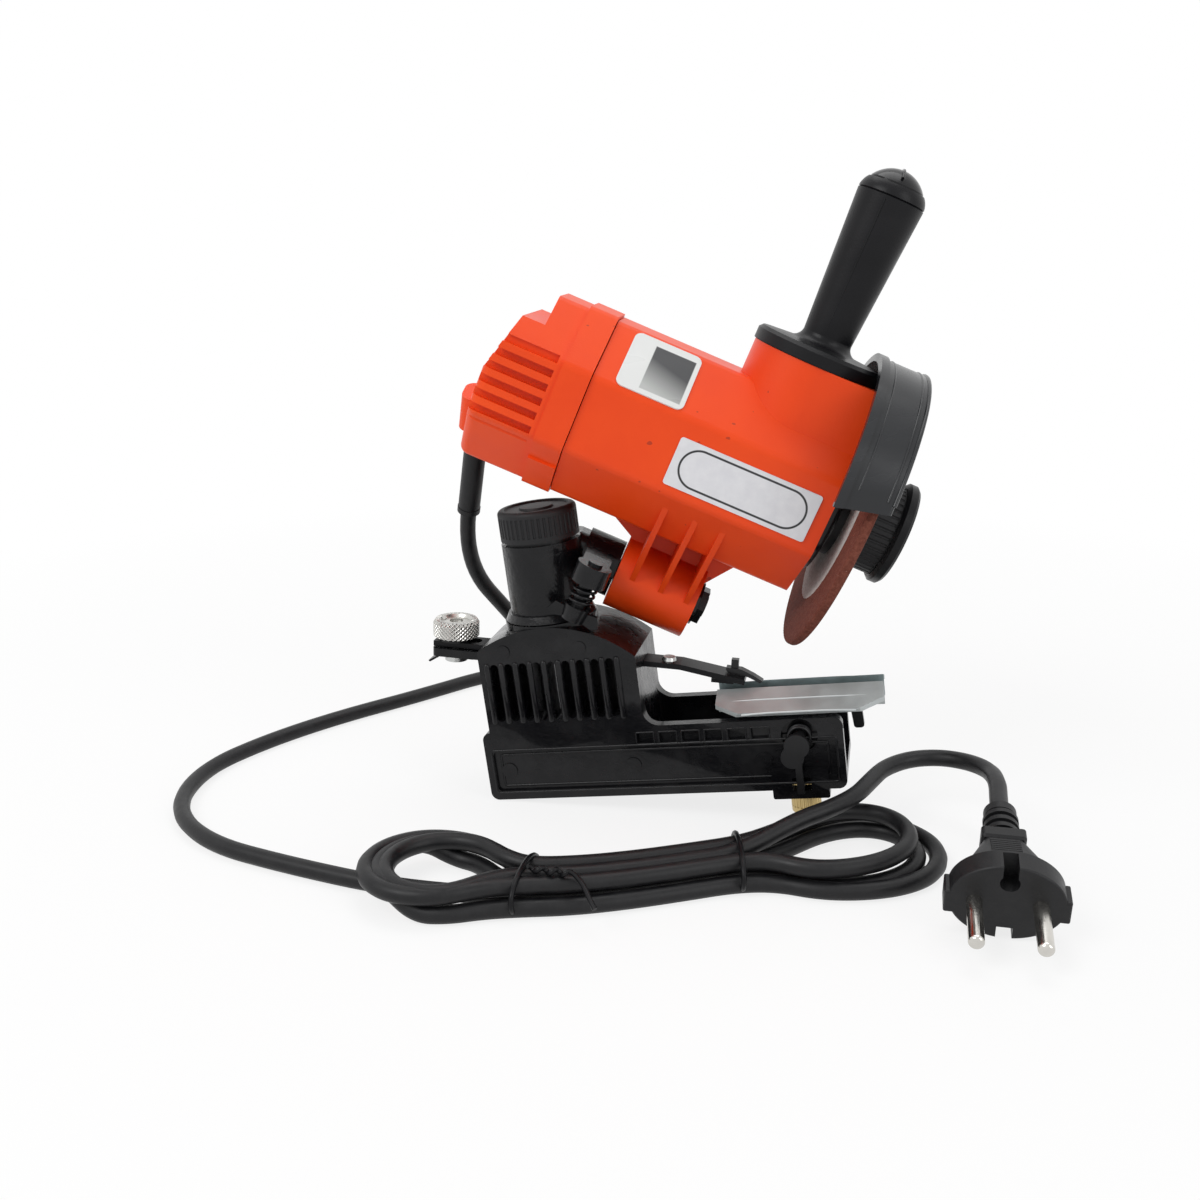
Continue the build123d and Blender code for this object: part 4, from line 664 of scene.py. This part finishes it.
LEVEL_POINTS = 3                               # points at each end of a left fold before it climbs
FOLD_POINTS = ARC_POINTS + 2 * len(NECK)
HANK_X0, HANK_LENGTH = -40, 136                # the hank's middle line swings over this stretch
HANK_Y0, HANK_SWING = -101, 53


def hank_middle(x):
    """Sideways place of the hank's middle line at x."""
    share = min(1.0, max(0.0, (x - HANK_X0) / HANK_LENGTH))
    return HANK_Y0 + HANK_SWING * share * share * (3 - 2 * share)


def strand(row, outward):
    """Points of one strand between the two ties."""
    side, height = ROWS[row]
    stations = [TIE_X[0] + (TIE_X[1] - TIE_X[0]) * n / STRAND_STEPS for n in range(STRAND_STEPS + 1)]
    return [(x, hank_middle(x) + side, height) for x in (stations if outward else reversed(stations))]


def fold(reach, half, rows, heights, right):
    """Points of a fold: out from a tie on one row, round one end of the hank, and back on the other row."""
    tie = TIE_X[1] if right else TIE_X[0]
    middle = reach - (1 if right else -1) * half
    first = -90 if right else 90
    side, wide = ROWS[rows[0]][0], -half if right else half
    points = [(tie + (middle - tie) * share, side + (wide - side) * opened) for share, opened in NECK]
    for n in range(ARC_POINTS):
        a = math.radians(first + ARC_TURN * n)
        points.append((middle + half * math.cos(a), half * math.sin(a)))
    side, wide = ROWS[rows[1]][0], half if right else -half
    points += [(tie + (middle - tie) * share, side + (wide - side) * opened)
               for share, opened in reversed(NECK)]
    return [(x, hank_middle(x) + y, height) for (x, y), height in zip(points, heights)]


def hank_points():
    """Points of the whole hank, strand by strand and fold by fold."""
    points = []
    following = [turn[0] for turn in TURNS[1:]] + ["top"]
    for (out, right, back, left), after in zip(TURNS, following):
        reach, half, height = right
        points += strand(out, True)
        points += fold(reach, half, (out, back), [height] * FOLD_POINTS, True)
        points += strand(back, False)
        reach, half, level, crossing = left
        ends, over = [level] * LEVEL_POINTS, [crossing] * (FOLD_POINTS - 2 * LEVEL_POINTS)
        points += fold(reach, half, (back, after), ends + over + ends, False)
    return points + strand("top", True)


def make_cord(route):
    """The smooth line of the route, then the round sheath on it."""
    line = smooth_curve("cord", route, 10)
    bare = mesh_of(line)
    path = [vertex.co.copy() for vertex in bare.vertices]
    bpy.data.meshes.remove(bare)
    piece = piece_from("cord", line, CORD_D / 2 * MM, 4)
    for face in piece.data.polygons:
        face.use_smooth = True
    dress(piece.data, CORD)
    return piece, path


BOOT_LENGTH, BOOT_LEAD = 36.0, 24              # the boot, and the straight stretch that follows it
BOOT_WAY = (HEAD.to_3x3() @ Vector((0.17, 0.36, -0.88))).normalized()
BOOT_ROOT = spot(HEAD, -129.5, 0, -23.5)
BOOT_END = BOOT_ROOT + BOOT_WAY * BOOT_LENGTH * MM
route = [BOOT_END, BOOT_END + BOOT_WAY * BOOT_LEAD * MM]
route += [Vector(point) * MM for point in LEAD + hank_points() + TAIL]
cord, cord_path = make_cord(route)

TIE_STEPS, TIE_R = 14, 0.9                     # points round a tie, and its wire's radius
TIE_HALF, TIE_RISE = 14.6, 7.1                 # a tie's half width and half height
TIE_MID, TIE_LOW = 6.2, 0.9                    # heights of its middle and of its flat underside
TWIST_STEPS, TWIST_TURN, TWIST_PITCH = 15, 1.35, 0.95
TWIST_R = 0.85
TWIST_X, TWIST_Y, TWIST_Z = 2.0, -3.5, 13.4    # its start, from the tie's place on the hank's middle line
TWIST_WIDE, TWIST_HIGH = 0.9, 0.8              # how far the twist swings sideways and up
TWIST_ENDS = ((3, -2.5, -0.2), (6, -6, -1.2), (9.5, -11, -4.0), (11.0, -12.5, -5.2))


def wire_tie(name, x, lean, tail):
    """Thin tie round the hank's strands, with its twisted ends laid to the right."""
    centre = hank_middle(x)
    around = []
    for n in range(TIE_STEPS):
        a = 2 * math.pi * n / TIE_STEPS
        side = TIE_HALF * math.cos(a)
        height = max(TIE_LOW, TIE_MID + TIE_RISE * math.sin(a))
        around.append(Vector((x + lean * side / TIE_HALF, centre + side, height)) * MM)
    loop = tube_along(name, around, TIE_R, closed=True)
    settle(loop, SATIN_BLACK, "base", 60)
    if not tail:
        return [loop]
    twist = []
    for n in range(TWIST_STEPS):
        a = n * TWIST_TURN
        y, z = centre + TWIST_Y + TWIST_WIDE * math.sin(a), TWIST_Z + TWIST_HIGH * math.cos(a)
        twist.append(Vector((x + TWIST_X + n * TWIST_PITCH, y, z)) * MM)
    last = twist[-1]
    twist += [last + Vector(step) * MM for step in TWIST_ENDS]
    ends = tube_along(name + "_ends", twist, TWIST_R)
    settle(ends, SATIN_BLACK, "base", 60)
    return [loop, ends]


ties = wire_tie("tie_left", TIE_X[0], 0.5, True) + wire_tie("tie_right", TIE_X[1], -3.5, False)
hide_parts("cord_tube", "cord_hank")
BOOT_END - Vector((0, 0, 0.085))
BOOT_END - Vector((0, 0, 0.004))
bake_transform(cord)


# ======================================================================================
# Floor, world and lamps
# ======================================================================================
FLOOR_SIZE = 12.0
FADE_FROM, FADE_TO = 0.20, 0.55                # where the floor turns to plain white, from the tool's origin
NEAR_GLOW = 0.80                               # share of plain white that it has close to the tool
SKY_LIGHT = 0.50                               # how strongly the surroundings light the tool


def seen_plainly(wiring):
    """1 for rays that come from the camera, from a mirror-like surface or through glass, else 0."""
    camera = wiring.node("ShaderNodeLightPath", out="Is Camera Ray")
    sockets = camera.socket.node.outputs
    glossy, clear = Wire(wiring, sockets["Is Glossy Ray"]), Wire(wiring, sockets["Is Transmission Ray"])
    return camera.most(glossy).most(clear)


def set_floor():
    """Pale floor that takes shadows near the tool and fades to plain white further out."""
    deselect()
    bpy.ops.mesh.primitive_plane_add(size=FLOOR_SIZE, location=(0, 0, 0))
    floor = bpy.context.object
    floor.name = "floor"
    pale = Finish("floor", (0.88, 0.88, 0.88), 0.9)
    away = pale.node("ShaderNodeVectorMath", {"operation": "LENGTH"}, {0: pale.place}, out="Value")
    glow = pale.node("ShaderNodeEmission", {}, {"Color": (1, 1, 1, 1)})
    share = seen_plainly(pale) * pale.spread(away, FADE_FROM, FADE_TO, NEAR_GLOW, 1.0)
    lit = Wire(pale, pale.surface.outputs[0])
    shown = pale.node("ShaderNodeMixShader", {}, {0: share, 1: lit, 2: glow})
    pale.feed(pale.tree.nodes["Material Output"].inputs["Surface"], shown)
    dress(floor.data, pale)


def set_world():
    """White surroundings for the camera and for mirror-like surfaces, softer as a light."""
    world = bpy.data.worlds.new("world")
    bpy.context.scene.world = world
    world.use_nodes = True
    wiring = Nodes(world.node_tree)
    sky = wiring.tree.nodes["Background"]
    wiring.feed(sky.inputs["Color"], (1, 1, 1, 1))
    wiring.feed(sky.inputs["Strength"], wiring.spread(seen_plainly(wiring), 0.0, 1.0, SKY_LIGHT, 1.0))


LAMPS_AIM = Vector((0.0, 0.0, 0.1))


def lamp(name, place, size, power):
    """Soft rectangular lamp that looks at the tool; its place and size are in metres."""
    data = bpy.data.lights.new(name, "AREA")
    data.shape = "RECTANGLE"
    data.size, data.size_y = size
    data.energy = power
    made = bpy.data.objects.new(name, data)
    bpy.context.scene.collection.objects.link(made)
    made.location = place
    made.rotation_euler = (LAMPS_AIM - Vector(place)).to_track_quat("-Z", "Y").to_euler()


bpy.context.scene.view_settings.view_transform = "Standard"
set_floor()
set_world()
lamp("key", (-0.55, -0.75, 0.95), (0.7, 0.5), 6.0)
lamp("fill", (0.9, -0.55, 0.55), (0.5, 0.7), 2.4)
lamp("top", (0.05, 0.25, 1.1), (0.9, 0.6), 3.6)
